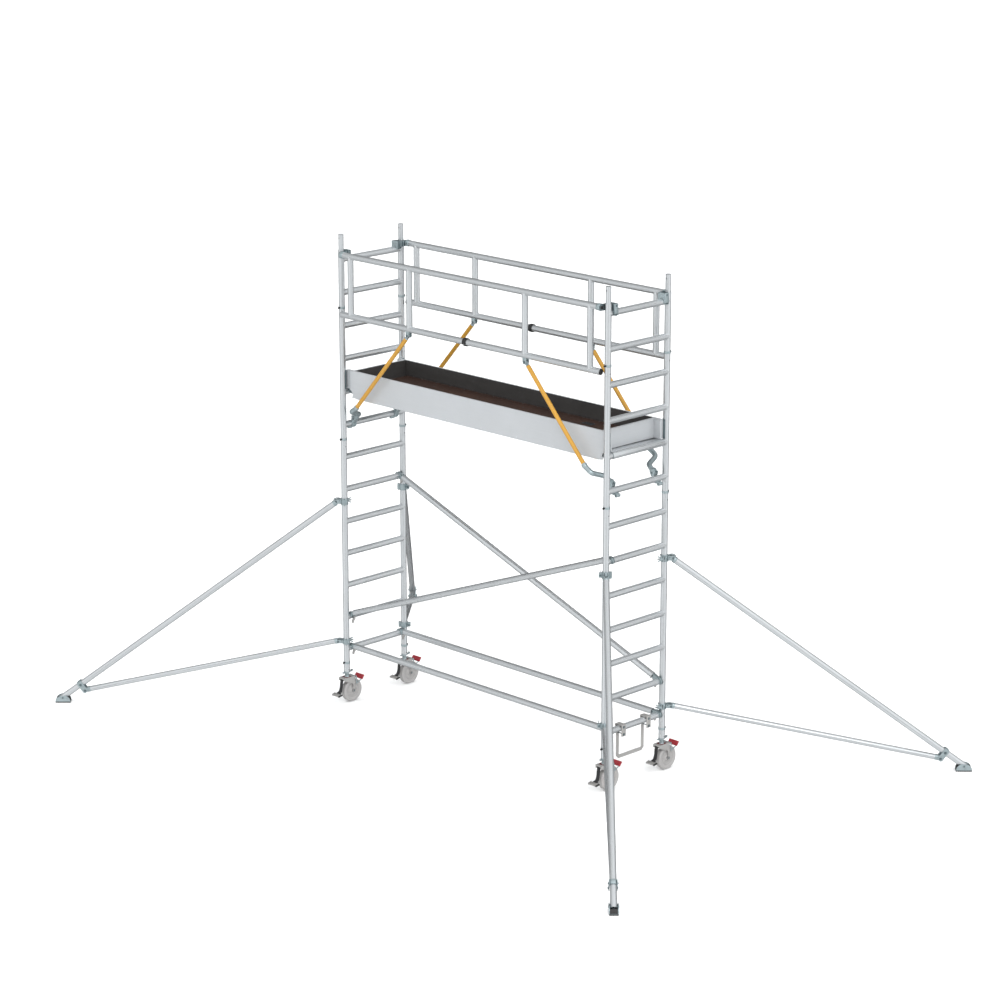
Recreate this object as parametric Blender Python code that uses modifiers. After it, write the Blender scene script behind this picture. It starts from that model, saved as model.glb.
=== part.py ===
"""Mobile tower scaffold: two ladder frames in three lifts, braces, one decked platform with a
trapdoor and toe boards, two hook-on guardrails with angled struts, four castors and four outriggers.

Frame: origin on the floor at the centre of the four standards, +X along the platform,
-Y the front, +Z up.  Metres.
"""
import math

import bmesh
import bpy
from mathutils import Matrix, Vector

# ---- ladder frames -------------------------------------------------------------------
HALF_L = 1.505          # standards either side of the middle, along the platform
HALF_W = 0.335          # standards either side of the middle, across it
R_TUBE = 0.0254         # standards, rungs, rails and outrigger legs
R_SPIGOT = 0.0215
R_SOCKET = 0.0219
RUNG_0 = 0.48
PITCH = 0.28
FOOT_Z = 0.275          # lower end of the standards
JOINT_1 = 2.235         # seams between lifts
JOINT_2 = 3.355
HEAD_Z = 3.915          # shoulder under the top spigots
SPIGOT = 0.134
SOCKET = 0.142
SEAM = 0.0004

# ---- hooks that sit over a rung ------------------------------------------------------
R_HOOK_IN = 0.0263
R_HOOK_OUT = 0.0335
R_EDGE_OUT = 0.0295      # platform end profile, one long hook over the rung

# ---- platform ------------------------------------------------------------------------
RUNG_P = RUNG_0 + 8 * PITCH
BEAM_Y = 0.2995         # outer face of the side beams
BEAM_X = 1.3895
BEAM_Z0 = 2.670
BEAM_Z1 = 2.762
DECK_Z0 = 2.7625
DECK_Z1 = 2.777
TOE_Y = 0.305
TOE_T = 0.018
TOE_TOP = 2.906
TOE_LIP = 2.676         # skirt over the side beams
TOE_END_X = 1.430
HATCH = (0.650, 1.300, -0.250, 0.165)

# ---- guardrails ----------------------------------------------------------------------
RAIL_Y = 0.371
RAIL_TOP = 3.887
RAIL_MID = 3.387
RAIL_END = 1.468
POSTS = (0.654, 1.353)
R_STRUT = 0.017
STRUT_PIN = (0.665, 3.334)
STRUT_END = (1.300, 2.6258)
STRUT_IN_Y = 0.241
R_ARM = 0.0205
RUNG_S = RUNG_0 + 7 * PITCH
RUNG_T = RUNG_0 + 12 * PITCH

# ---- braces --------------------------------------------------------------------------
BRACE_Y = 0.2875
BRACE_LIFT = 0.017      # brace axis above the axis of the rung it hooks over

# ---- castors -------------------------------------------------------------------------
WHEEL_R = 0.100
WHEEL_W = 0.024
TRAIL = 0.050
FORK_IN = 0.029
FORK_OUT = 0.035
PEDAL_HINGE = (0.070, 0.2215)

# ---- outriggers, drawn along +X from the axis of their standard ----------------------
LEG_Z = 1.821           # height of the leg axis produced to the standard
LEG_FALL = 0.733
LEG_REACH = 2.437
STAY_Z = 0.565
STAY_FALL = 0.2050
STAY_REACH = 2.249
R_STAY = 0.0225
CLAMP_TOP = 1.777
CLAMP_LOW = 0.545
BRACKET_U = 2.270
FOOT_U = 2.425

CORNERS = {"front_left": (-1, -1), "rear_left": (-1, 1), "front_right": (1, -1), "rear_right": (1, 1)}

for leftover in list(bpy.data.objects):
    bpy.data.objects.remove(leftover, do_unlink=True)


def collection(name, hidden):
    col = bpy.data.collections.new(name)
    bpy.context.scene.collection.children.link(col)
    col.hide_render = hidden
    return col


PARTS = collection("mobile_tower_scaffold", False)
TOOLS = collection("cutters", True)


def material(name, colour, metallic, roughness):
    mat = bpy.data.materials.new(name)
    mat.use_nodes = True
    shader = mat.node_tree.nodes["Principled BSDF"]
    shader.inputs["Base Color"].default_value = (*colour, 1.0)
    shader.inputs["Metallic"].default_value = metallic
    shader.inputs["Roughness"].default_value = roughness
    return mat


FINISH = {
    "aluminium": ((0.62, 0.64, 0.65), 1.0, 0.42),
    "galvanised": ((0.42, 0.46, 0.47), 1.0, 0.48),
    "yellow": ((0.62, 0.33, 0.04), 0.0, 0.45),
    "red": ((0.42, 0.02, 0.03), 0.0, 0.45),
    "black": ((0.02, 0.02, 0.02), 0.0, 0.6),
    "grey_nylon": ((0.50, 0.48, 0.47), 0.0, 0.5),
    "ply": ((0.06, 0.025, 0.015), 0.0, 0.55),
    "board": ((0.55, 0.57, 0.58), 0.3, 0.5),
}


# ---- shapes --------------------------------------------------------------------------
def settled(bm, name):
    """A mesh from bm with merged vertices and outward faces."""
    bmesh.ops.remove_doubles(bm, verts=bm.verts, dist=1e-6)
    bmesh.ops.recalc_face_normals(bm, faces=bm.faces)
    mesh = bpy.data.meshes.new(name)
    bm.to_mesh(mesh)
    bm.free()
    return mesh


def evaluated(obj):
    """Plain mesh of an object after its modifiers or its curve bevel, and the object removed."""
    bpy.context.scene.collection.objects.link(obj)
    graph = bpy.context.evaluated_depsgraph_get()
    graph.update()
    mesh = bpy.data.meshes.new_from_object(obj.evaluated_get(graph), depsgraph=graph)
    mesh.transform(obj.matrix_world)
    bpy.data.objects.remove(obj, do_unlink=True)
    bm = bmesh.new()
    bm.from_mesh(mesh)
    return settled(bm, "shape")


def rod(p, q, r, sides=12):
    """Round bar between two points."""
    p, q = Vector(p), Vector(q)
    turn = (q - p).to_track_quat("Z", "Y").to_matrix().to_4x4()
    spin = Matrix.Rotation(math.pi / sides, 4, "Z")
    bm = bmesh.new()
    bmesh.ops.create_cone(bm, cap_ends=True, segments=sides, radius1=r, radius2=r,
                          depth=(q - p).length,
                          matrix=Matrix.Translation((p + q) / 2) @ turn @ spin)
    return settled(bm, "rod")


def block(x, y, z, tilt=None):
    """Box between pairs of limits, tilted about its own centre by a matrix."""
    centre = Vector(((x[0] + x[1]) / 2, (y[0] + y[1]) / 2, (z[0] + z[1]) / 2))
    size = Matrix.Diagonal((abs(x[1] - x[0]), abs(y[1] - y[0]), abs(z[1] - z[0]), 1.0))
    bm = bmesh.new()
    bmesh.ops.create_cube(bm, size=1.0,
                          matrix=Matrix.Translation(centre) @ (tilt or Matrix.Identity(4)) @ size)
    return settled(bm, "block")


def slab(outline, normal, low, high):
    """Flat outline extruded between two heights along X, Y or Z."""
    curve = bpy.data.curves.new("outline", "CURVE")
    curve.dimensions = "2D"
    curve.fill_mode = "BOTH"
    curve.extrude = (high - low) / 2
    line = curve.splines.new("POLY")
    line.points.add(len(outline) - 1)
    for point, (a, b) in zip(line.points, outline):
        point.co = (a, b, 0.0, 1.0)
    line.use_cyclic_u = True
    obj = bpy.data.objects.new("outline", curve)
    mid = (high + low) / 2
    obj.matrix_world = {
        "X": Matrix(((0, 0, 1, mid), (1, 0, 0, 0), (0, 1, 0, 0), (0, 0, 0, 1))),
        "Y": Matrix(((1, 0, 0, 0), (0, 0, 1, mid), (0, 1, 0, 0), (0, 0, 0, 1))),
        "Z": Matrix.Translation((0, 0, mid)),
    }[normal]
    return evaluated(obj)


def turned(profile, steps=16):
    """Closed profile of (radius, height) pairs swept once round the Z axis."""
    bm = bmesh.new()
    verts = [bm.verts.new((r, 0.0, z)) for r, z in profile]
    for a, b in zip(verts, verts[1:] + verts[:1]):
        bm.edges.new((a, b))
    mesh = bpy.data.meshes.new("profile")
    bm.to_mesh(mesh)
    bm.free()
    obj = bpy.data.objects.new("profile", mesh)
    screw = obj.modifiers.new("Screw", "SCREW")
    screw.steps = screw.render_steps = steps
    screw.use_merge_vertices = True
    screw.merge_threshold = 0.00001
    return evaluated(obj)


def bent(points, r, sides=2):
    """Round bar through a run of points."""
    curve = bpy.data.curves.new("bar", "CURVE")
    curve.dimensions = "3D"
    curve.bevel_depth = r
    curve.bevel_resolution = sides
    curve.use_fill_caps = True
    line = curve.splines.new("POLY")
    line.points.add(len(points) - 1)
    for point, co in zip(line.points, points):
        point.co = (*co, 1.0)
    return evaluated(bpy.data.objects.new("bar", curve))


def moved(mesh, matrix):
    mesh.transform(matrix)
    return mesh


def part(name, finish, shapes, cuts=(), pivot=(0.0, 0.0, 0.0), place=Matrix.Identity(4)):
    """One named sub-part: shapes joined, cuts taken away, origin at the pivot, then placed."""
    for mesh in (*shapes, *cuts):
        mesh.shade_smooth()
        mesh.set_sharp_from_angle(angle=math.radians(40))
    back = Matrix.Translation(-Vector(pivot))
    at = place @ Matrix.Translation(Vector(pivot))
    body = bpy.data.objects.new(name, moved(shapes[0], back))
    body.data.name = name
    body.matrix_world = at
    PARTS.objects.link(body)
    body.data.materials.clear()
    body.data.materials.append(material(name + "_" + finish, *FINISH[finish]))
    for kind, group in (("UNION", shapes[1:]), ("DIFFERENCE", cuts)):
        for number, mesh in enumerate(group):
            tool = bpy.data.objects.new("%s_%s_%d" % (name, kind.lower(), number), moved(mesh, back))
            tool.matrix_world = at
            tool.display_type = "WIRE"
            tool.hide_render = True
            TOOLS.objects.link(tool)
            step = body.modifiers.new("%s %d" % (kind.title(), number), "BOOLEAN")
            step.operation = kind
            step.solver = "EXACT"
            step.object = tool
    return body


HALF_TURN = Matrix.Rotation(math.pi, 4, "Z")


def arc(radius, start, stop, steps):
    return [(radius * math.cos(math.radians(start + (stop - start) * i / steps)),
             radius * math.sin(math.radians(start + (stop - start) * i / steps)))
            for i in range(steps + 1)]


def hook(z, y, neck, top=0.036, low=0.0, tilt=0.0, tip=-35.0, outer=R_HOOK_OUT):
    """Hook over the rung on the +X side: an arc round the rung and a neck towards the middle."""
    line = arc(outer, tip, 95, 6) + [(-neck, top), (-neck, low)] + arc(outer, 186, 205, 1)
    line += arc(R_HOOK_IN, 205, tip, 10)
    turn = Matrix.Rotation(tilt, 2)
    line = [turn @ Vector(p) for p in line]
    return slab([(HALF_L + p.x, z + p.y) for p in line], "Y", y[0], y[1])


# ---- ladder frames -------------------------------------------------------------------
def ladder(name, side, bottom, top, rungs):
    x = side * HALF_L
    shapes, cuts = [], []
    for y in (-HALF_W, HALF_W):
        shapes.append(rod((x, y, bottom), (x, y, top), R_TUBE))
        shapes.append(rod((x, y, top - 0.02), (x, y, top + SPIGOT), R_SPIGOT))
        cuts.append(rod((x, y, bottom - 0.01), (x, y, bottom + SOCKET), R_SOCKET))
    for k in rungs:
        z = RUNG_0 + k * PITCH
        shapes.append(rod((x, -HALF_W + 0.004, z), (x, HALF_W - 0.004, z), R_TUBE, 10))
    part(name, "aluminium", shapes, cuts)


for side, word in ((-1, "left"), (1, "right")):
    ladder("frame_lower_" + word, side, FOOT_Z, JOINT_1, range(0, 7))
    ladder("frame_middle_" + word, side, JOINT_1 + SEAM, JOINT_2, range(7, 11))
    ladder("frame_top_" + word, side, JOINT_2 + SEAM, HEAD_Z, range(11, 13))

# ---- braces, both hooked over the rungs just inside the standards --------------------
for word, place in (("front", Matrix.Identity(4)), ("rear", HALF_TURN)):
    y = (-BRACE_Y - 0.015, -BRACE_Y + 0.015)
    z = RUNG_0 + BRACE_LIFT
    right = hook(RUNG_0, y, 0.085, 0.035, -0.001)
    left = moved(hook(RUNG_0, (-y[1], -y[0]), 0.085, 0.035, -0.001), HALF_TURN)
    part("base_brace_" + word, "aluminium",
         [rod((-HALF_L + 0.055, -BRACE_Y, z), (HALF_L - 0.055, -BRACE_Y, z), R_TUBE), right, left],
         place=place)
    low, high = RUNG_0 + PITCH, RUNG_0 + 5 * PITCH
    rise = math.atan2(high - low, 2 * HALF_L)
    right = hook(high, y, 0.085, 0.035, -0.001, tilt=rise, tip=-55.0)
    left = moved(hook(low, (-y[1], -y[0]), 0.085, 0.035, -0.001, tilt=-rise, tip=-15.0), HALF_TURN)
    reach = HALF_L - 0.055
    part("diagonal_brace_" + word, "aluminium",
         [rod((-reach, -BRACE_Y, (low + high) / 2 + BRACE_LIFT - reach * math.tan(rise)),
              (reach, -BRACE_Y, (low + high) / 2 + BRACE_LIFT + reach * math.tan(rise)), R_TUBE),
          right, left], place=place)

# ---- platform ------------------------------------------------------------------------
channel = [(BEAM_Y, BEAM_Z0), (BEAM_Y, BEAM_Z1), (0.255, BEAM_Z1), (0.255, BEAM_Z1 - 0.005),
           (BEAM_Y - 0.004, BEAM_Z1 - 0.005), (BEAM_Y - 0.004, BEAM_Z0 + 0.005),
           (0.255, BEAM_Z0 + 0.005), (0.255, BEAM_Z0)]
shapes = [slab(channel, "X", -BEAM_X, BEAM_X), moved(slab(channel, "X", -BEAM_X, BEAM_X), HALF_TURN)]
for x0, x1 in ((-1.3885, -1.3600), (1.3600, 1.3885)):
    shapes.append(block((x0, x1), (-0.298, 0.298), (2.6735, 2.7435)))
for x in (-0.94, -0.42, 0.10):
    shapes.append(block((x - 0.018, x + 0.018), (-0.298, 0.298), (2.716, 2.7615)))
for x in (HATCH[0] - 0.004, HATCH[1] + 0.004):
    shapes.append(block((x - 0.024, x + 0.024), (-0.298, 0.298), (2.716, 2.7615)))
edge = dict(neck=0.130, top=0.022, low=-0.034, tip=-55.0, outer=R_EDGE_OUT)
shapes.append(hook(RUNG_P, (-0.288, 0.288), **edge))
shapes.append(moved(hook(RUNG_P, (-0.288, 0.288), **edge), HALF_TURN))
part("platform_frame", "aluminium", shapes)

part("platform_deck", "ply", [block((-1.386, 1.386), (-0.284, 0.284), (DECK_Z0, DECK_Z1))],
     [block(HATCH[:2], HATCH[2:], (DECK_Z0 - 0.01, DECK_Z1 + 0.01))])
part("trapdoor", "ply", [block((HATCH[0] + 0.004, HATCH[1] - 0.004), (HATCH[2] + 0.004, HATCH[3] - 0.004),
                               (DECK_Z0, DECK_Z1))],
     pivot=((HATCH[0] + HATCH[1]) / 2, HATCH[3] - 0.004, DECK_Z1))

toe_side = [(TOE_Y - TOE_T, 2.7628), (TOE_Y - 0.0051, 2.7628), (TOE_Y - 0.0051, TOE_LIP),
            (TOE_Y, TOE_LIP), (TOE_Y, TOE_TOP), (TOE_Y - TOE_T, TOE_TOP)]
for word, place in (("rear", Matrix.Identity(4)), ("front", HALF_TURN)):
    part("toe_board_" + word, "board", [slab(toe_side, "X", -1.452, 1.452)],
         [rod((s * 1.470, TOE_Y - 0.03, 2.700), (s * 1.470, TOE_Y + 0.01, 2.700), 0.048, 20)
          for s in (-1, 1)], place=place)
corner = [(TOE_END_X - 0.020, -0.2864), (1.4545, -0.2864), (1.4545, -TOE_Y), (1.497, -TOE_Y),
          (1.497, -0.2740), (TOE_END_X, -0.2740), (TOE_END_X, 0.2740), (1.497, 0.2740),
          (1.497, TOE_Y), (1.4545, TOE_Y), (1.4545, 0.2864), (TOE_END_X - 0.020, 0.2864)]
part("toe_board_right", "board", [slab(corner, "Z", 2.750, TOE_TOP)])
part("toe_board_left", "board", [slab(corner, "Z", 2.750, TOE_TOP)], place=HALF_TURN)

# ---- step stirrup, hung on the lowest rung of the right-hand frame --------------------
shapes = [block((1.4625, 1.4745), (-0.159, 0.159), (0.213, 0.239))]
for y in (-0.145, 0.145):
    shapes.append(block((1.4625, 1.4745), (y - 0.014, y + 0.014), (0.230, 0.510)))
    shapes.append(block((1.4625, 1.5375), (y - 0.024, y + 0.024), (0.5070, 0.5130)))
    shapes.append(block((1.5315, 1.5375), (y - 0.024, y + 0.024), (0.4150, 0.5100)))
part("step_stirrup", "galvanised", shapes, pivot=(HALF_L, 0.0, RUNG_0))

# ---- castors -------------------------------------------------------------------------
cheek = [(-0.062, 0.2265), (-0.062, 0.206), (0.028, 0.167), (0.042, 0.152), (0.0405, 0.098),
         (0.044, 0.088), (0.050, 0.0845), (0.056, 0.088), (0.0595, 0.098), (0.058, 0.152),
         (0.062, 0.175), (0.062, 0.2265)]
leg = [(-0.050, 0.222), (-0.062, 0.222), (-0.070, 0.150), (-0.080, 0.118), (-0.106, 0.098),
       (-0.106, 0.086), (-0.088, 0.088), (-0.072, 0.110), (-0.063, 0.150)]
tyre = [(0.0095, -0.027), (0.0260, -0.027), (0.0320, -0.020), (0.0940, -WHEEL_W), (WHEEL_R, -0.018),
        (WHEEL_R, 0.018), (0.0940, WHEEL_W), (0.0320, 0.020), (0.0260, 0.027), (0.0095, 0.027)]
strap = [(0.0640, 0.2190), (0.0650, 0.2270), (0.0750, 0.2270), (0.0775, 0.2100), (0.0800, 0.1660),
         (0.1340, 0.1900), (0.1380, 0.1820), (0.0790, 0.1530), (0.0715, 0.1570), (0.0690, 0.2050)]
LAY = Matrix.Rotation(math.pi / 2, 4, "Y")
for word, (sx, sy) in CORNERS.items():
    at = Matrix.Translation((sx * HALF_L, sy * HALF_W, 0.0))
    part("castor_stem_" + word, "galvanised",
         [rod((0, 0, 0.2504), (0, 0, 0.270), 0.017), rod((0, 0, 0.2665), (0, 0, 0.2746), 0.0270, 16),
          block((-0.010, 0.010), (-0.046, 0.060), (0.2630, 0.2700)),
          rod((0, 0, 0.272), (0, 0, 0.410), R_SPIGOT)], place=at)
    part("castor_fork_" + word, "grey_nylon",
         [block((-FORK_OUT, FORK_OUT), (-0.062, 0.062), (0.2150, 0.2265)),
          rod((0, 0, 0.222), (0, 0, 0.2500), 0.0215, 16),
          slab(cheek, "X", FORK_IN, FORK_OUT), slab(cheek, "X", -FORK_OUT, -FORK_IN),
          rod((-0.033, TRAIL, WHEEL_R), (0.033, TRAIL, WHEEL_R), 0.008, 12),
          slab(leg, "X", -0.010, 0.010),
          block((-0.043, 0.046), (-0.136, -0.096), (0.083, 0.092),
                Matrix.Rotation(math.radians(12), 4, "X"))],
         pivot=(0, 0, 0.25), place=at)
    part("castor_wheel_" + word, "grey_nylon",
         [moved(turned(tyre, 20), Matrix.Translation((0, TRAIL, WHEEL_R)) @ LAY)],
         pivot=(0, TRAIL, WHEEL_R), place=at)
    hy, hz = PEDAL_HINGE
    part("castor_pedal_" + word, "red",
         [rod((-0.038, hy, hz), (0.038, hy, hz), 0.0055, 10),
          slab(strap, "X", 0.0356, 0.0396), slab(strap, "X", -0.0396, -0.0356),
          block((-0.049, 0.049), (0.1345, 0.1475), (0.1800, 0.2220),
                Matrix.Rotation(math.radians(-36), 4, "X"))],
         pivot=(0, hy, hz), place=at)

# ---- guardrails ----------------------------------------------------------------------
px, pz = STRUT_PIN
cup = arc(0.0345, 139, 290, 8) + [(p + 0.0260, q - 0.0360) for p, q in arc(0.0160, 230, 395, 7)]
cup = [(HALF_L + p, RUNG_S + q) for p, q in cup + arc(R_HOOK_IN, 312, 139, 10)]
for word, place in (("front", Matrix.Identity(4)), ("rear", HALF_TURN)):
    y = -RAIL_Y
    shapes = [rod((-RAIL_END, y, RAIL_TOP), (RAIL_END, y, RAIL_TOP), R_TUBE),
              rod((-RAIL_END, y, RAIL_MID), (RAIL_END, y, RAIL_MID), R_TUBE)]
    for x in (-POSTS[1], -POSTS[0], POSTS[0], POSTS[1]):
        shapes.append(rod((x, y, RAIL_MID + 0.004), (x, y, RAIL_TOP - 0.004), R_TUBE))
    for s in (-1, 1):
        shapes.append(block((s * 1.4640, s * 1.4745), (y - 0.012, -0.262), (3.862, 3.912)))
        saddle = hook(RUNG_T, (-0.306, -0.262) if s > 0 else (0.262, 0.306), 0.036, 0.034, 0.020)
        shapes.append(saddle if s > 0 else moved(saddle, HALF_TURN))
        for v in (-1, 1):
            shapes.append(block((s * (px - 0.020), s * (px + 0.018)), (y + v * 0.0135, y + v * 0.0190),
                                (pz - 0.018, 3.372)))
        shapes.append(rod((s * px, y - 0.016, pz), (s * px, y + 0.016, pz), 0.0050, 10))
    part("guardrail_" + word, "aluminium", shapes, place=place)
    ring = moved(turned([(R_TUBE + 0.0010, -0.017), (0.0340, -0.017), (0.0340, 0.017),
                         (R_TUBE + 0.0010, 0.017)]),
                 Matrix.Translation((0, y, RAIL_MID)) @ LAY)
    part("rail_clip_" + word, "black", [ring],
         [block((-0.03, 0.03), (y - 0.060, y - 0.018), (RAIL_MID - 0.016, RAIL_MID + 0.016))],
         place=place)
    ex, ez = STRUT_END
    along = Vector((ex - px, 0, ez - pz)).normalized()
    lean = Matrix.Rotation(math.atan2(-along.z, along.x), 4, "Y")
    for hand, s in (("right", 1), ("left", -1)):
        inner = -STRUT_IN_Y
        start = Vector((px, y, pz)) + along * 0.034
        neck = Vector((px, y, pz)) + along * 0.021
        shapes = [rod(start, (ex, y, ez), R_STRUT, 14),
                  moved(block((-0.021, 0.021), (-0.0095, 0.0095), (-0.013, 0.013)),
                        Matrix.Translation(neck) @ lean),
                  bent([(ex - 0.014, y, ez + 0.0153), (1.374, y, 2.5700), (1.405, inner, 2.5330),
                        (1.441, inner, 2.5075), (HALF_L - 0.0222, inner, RUNG_S + 0.0222)], R_ARM),
                  slab(cup, "Y", inner - 0.020, inner + 0.020)]
        cuts = [rod((px, y - 0.02, pz), (px, y + 0.02, pz), 0.0058, 10)]
        mirror = Matrix.Scale(s, 4, Vector((1, 0, 0)))
        if s < 0:
            for mesh in shapes + cuts:
                mesh.transform(mirror)
                mesh.flip_normals()
        label = hand if word == "front" else {"left": "right", "right": "left"}[hand]
        part("strut_%s_%s" % (word, label), "yellow", shapes, cuts, pivot=(s * px, y, pz), place=place)

# ---- outriggers ----------------------------------------------------------------------
tilt = math.atan(LEG_FALL)
along = Vector((math.cos(tilt), 0, -math.sin(tilt)))
up = Vector((math.sin(tilt), 0, math.cos(tilt)))
seat = Vector((BRACKET_U, 0, LEG_Z - LEG_FALL * BRACKET_U))
foot_z = LEG_Z - LEG_FALL * FOOT_U
square = Matrix(((along.x, 0, up.x, seat.x), (0, 1, 0, 0), (along.z, 0, up.z, seat.z), (0, 0, 0, 1)))
moon = [(-0.063, 0.006), (0.063, 0.006), (0.061, 0.028), (0.046, 0.050), (0.022, 0.0625),
        (-0.022, 0.0625), (-0.046, 0.050), (-0.061, 0.028)]
for word, (sx, sy) in CORNERS.items():
    at = (Matrix.Translation((sx * HALF_L, sy * HALF_W, 0.0))
          @ Matrix.Rotation(math.atan2(sy, sx), 4, "Z"))

    def coupler(z, half):
        """Split collar with its hinge on one side, and ears with a winged bolt on the other."""
        return [turned([(R_TUBE + 0.0010, z - half), (0.0315, z - half), (0.0315, z + half),
                        (R_TUBE + 0.0010, z + half)]),
                block((-0.010, 0.010), (0.0285, 0.0480), (z - half * 0.9, z + half * 0.9)),
                block((-0.013, 0.013), (-0.0520, -0.0285), (z - half * 0.7, z + half * 0.7)),
                rod((-0.050, -0.0420, z), (0.010, -0.0420, z), 0.0050, 8),
                block((-0.045, -0.034), (-0.0455, -0.0385), (z - 0.021, z + 0.021))]

    part("outrigger_leg_" + word, "aluminium",
         [rod((0.072, 0, LEG_Z - LEG_FALL * 0.072), (LEG_REACH, 0, LEG_Z - LEG_FALL * LEG_REACH), R_TUBE),
          block((0.030, 0.094), (-0.018, 0.018), (1.755, 1.797)), *coupler(CLAMP_TOP, 0.0270)],
         [rod((FOOT_U, -0.03, foot_z), (FOOT_U, 0.03, foot_z), 0.0070, 12)],
         pivot=(0, 0, CLAMP_TOP), place=at)
    part("outrigger_stay_" + word, "aluminium",
         [rod((0.076, 0, STAY_Z - STAY_FALL * 0.076), (STAY_REACH, 0, STAY_Z - STAY_FALL * STAY_REACH),
              R_STAY),
          block((0.030, 0.094), (-0.016, 0.016), (0.531, 0.563)), *coupler(CLAMP_LOW, 0.0240)],
         pivot=(0, 0, CLAMP_LOW), place=at)
    part("outrigger_bracket_" + word, "galvanised",
         [moved(block((-0.023, 0.023), (-0.0325, 0.0325), (-0.0820, 0.0330)), square)],
         [moved(rod((-0.05, 0, 0), (0.05, 0, 0), R_TUBE + 0.0010, 16), square),
          moved(block((-0.05, 0.05), (-0.0236, 0.0236), (-0.0950, -0.0100)), square)], place=at)
    part("outrigger_foot_" + word, "galvanised",
         [block((FOOT_U - 0.063, FOOT_U + 0.063), (-0.0350, 0.0350), (0.0, 0.0100)),
          slab([(FOOT_U + a, b) for a, b in moon], "Y", 0.0290, 0.0350),
          slab([(FOOT_U + a, b) for a, b in moon], "Y", -0.0350, -0.0290),
          rod((FOOT_U, -0.032, foot_z), (FOOT_U, 0.032, foot_z), 0.0062, 12)],
         pivot=(FOOT_U, 0, foot_z), place=at)
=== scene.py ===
"""Mobile tower scaffold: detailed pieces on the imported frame, studio floor, light and camera."""
from math import atan, atan2, cos, pi, radians, sin, sqrt, tan

import bmesh
import bpy
from mathutils import Matrix, Vector


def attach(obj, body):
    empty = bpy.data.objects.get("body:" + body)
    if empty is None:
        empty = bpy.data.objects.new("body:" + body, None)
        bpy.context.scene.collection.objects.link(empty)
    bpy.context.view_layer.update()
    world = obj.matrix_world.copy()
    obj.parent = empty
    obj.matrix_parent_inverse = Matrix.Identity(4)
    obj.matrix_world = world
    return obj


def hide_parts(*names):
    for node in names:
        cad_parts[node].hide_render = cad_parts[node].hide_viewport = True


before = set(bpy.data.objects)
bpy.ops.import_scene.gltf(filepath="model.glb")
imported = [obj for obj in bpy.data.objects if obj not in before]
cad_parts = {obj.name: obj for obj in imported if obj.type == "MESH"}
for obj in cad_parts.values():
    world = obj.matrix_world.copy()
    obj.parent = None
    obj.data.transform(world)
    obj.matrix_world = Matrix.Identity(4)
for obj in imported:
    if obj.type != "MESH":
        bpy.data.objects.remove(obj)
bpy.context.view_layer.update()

# ---- sizes, in metres, the same as the CAD part's ----
HALF_L, HALF_W = 1.505, 0.335
R_TUBE, R_SPIGOT = 0.0254, 0.0215
RUNG_0, PITCH = 0.48, 0.28
FOOT_Z, JOINT_1, JOINT_2, HEAD_Z = 0.275, 2.235, 3.355, 3.915
CLIP_UP = 0.08
HOOK_IN, HOOK_OUT, NECK, NECK_TOP = 0.0262, 0.033, 0.085, 0.034
DECK_TOP = 2.777
HATCH = (0.65, 1.3, -0.25, 0.165)
RAIL_Y, RAIL_TOP, RAIL_MID, RAIL_END = 0.371, 3.887, 3.387, 1.468
POSTS = (0.654, 1.353)
R_STRUT, R_ARM, STRUT_PIN, STRUT_END, STRUT_IN_Y = 0.017, 0.0205, (0.665, 3.334), (1.3, 2.6258), 0.241
RUNG_S, RUNG_T = RUNG_0 + 7 * PITCH, RUNG_0 + 12 * PITCH
BRACE_Y, BRACE_LIFT = 0.2875, 0.017
WHEEL_R, TRAIL, PEDAL = 0.1, 0.05, (0.07, 0.2215)
LEG_Z, LEG_FALL, LEG_REACH = 1.821, 0.733, 2.437
STAY_Z, STAY_FALL, STAY_REACH, R_STAY = 0.565, 0.205, 2.249, 0.0225
CLAMP_TOP, CLAMP_LOW, BRACKET_U, FOOT_U = 1.777, 0.545, 2.27, 2.425
RIBS = (-0.94, -0.42, 0.1)
CREASE = radians(34)
CORNERS = {"front_left": (-1, -1), "rear_left": (-1, 1), "front_right": (1, -1), "rear_right": (1, 1)}
HALF_TURN = Matrix.Rotation(pi, 4, "Z")
X, Y, Z = Vector((1, 0, 0)), Vector((0, 1, 0)), Vector((0, 0, 1))
link = bpy.context.scene.collection.objects.link


# ---- materials ----
def add_node(tree, kind, out, inputs, **settings):
    """Shader node with its settings made and its inputs set or linked; returns one of its outputs."""
    new = tree.nodes.new("ShaderNode" + kind)
    for key, value in settings.items():
        setattr(new, key, value)
    for key, value in inputs.items():
        if isinstance(value, bpy.types.NodeSocket):
            tree.links.new(value, new.inputs[key])
        else:
            new.inputs[key].default_value = value
    return new.outputs[out]


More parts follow.
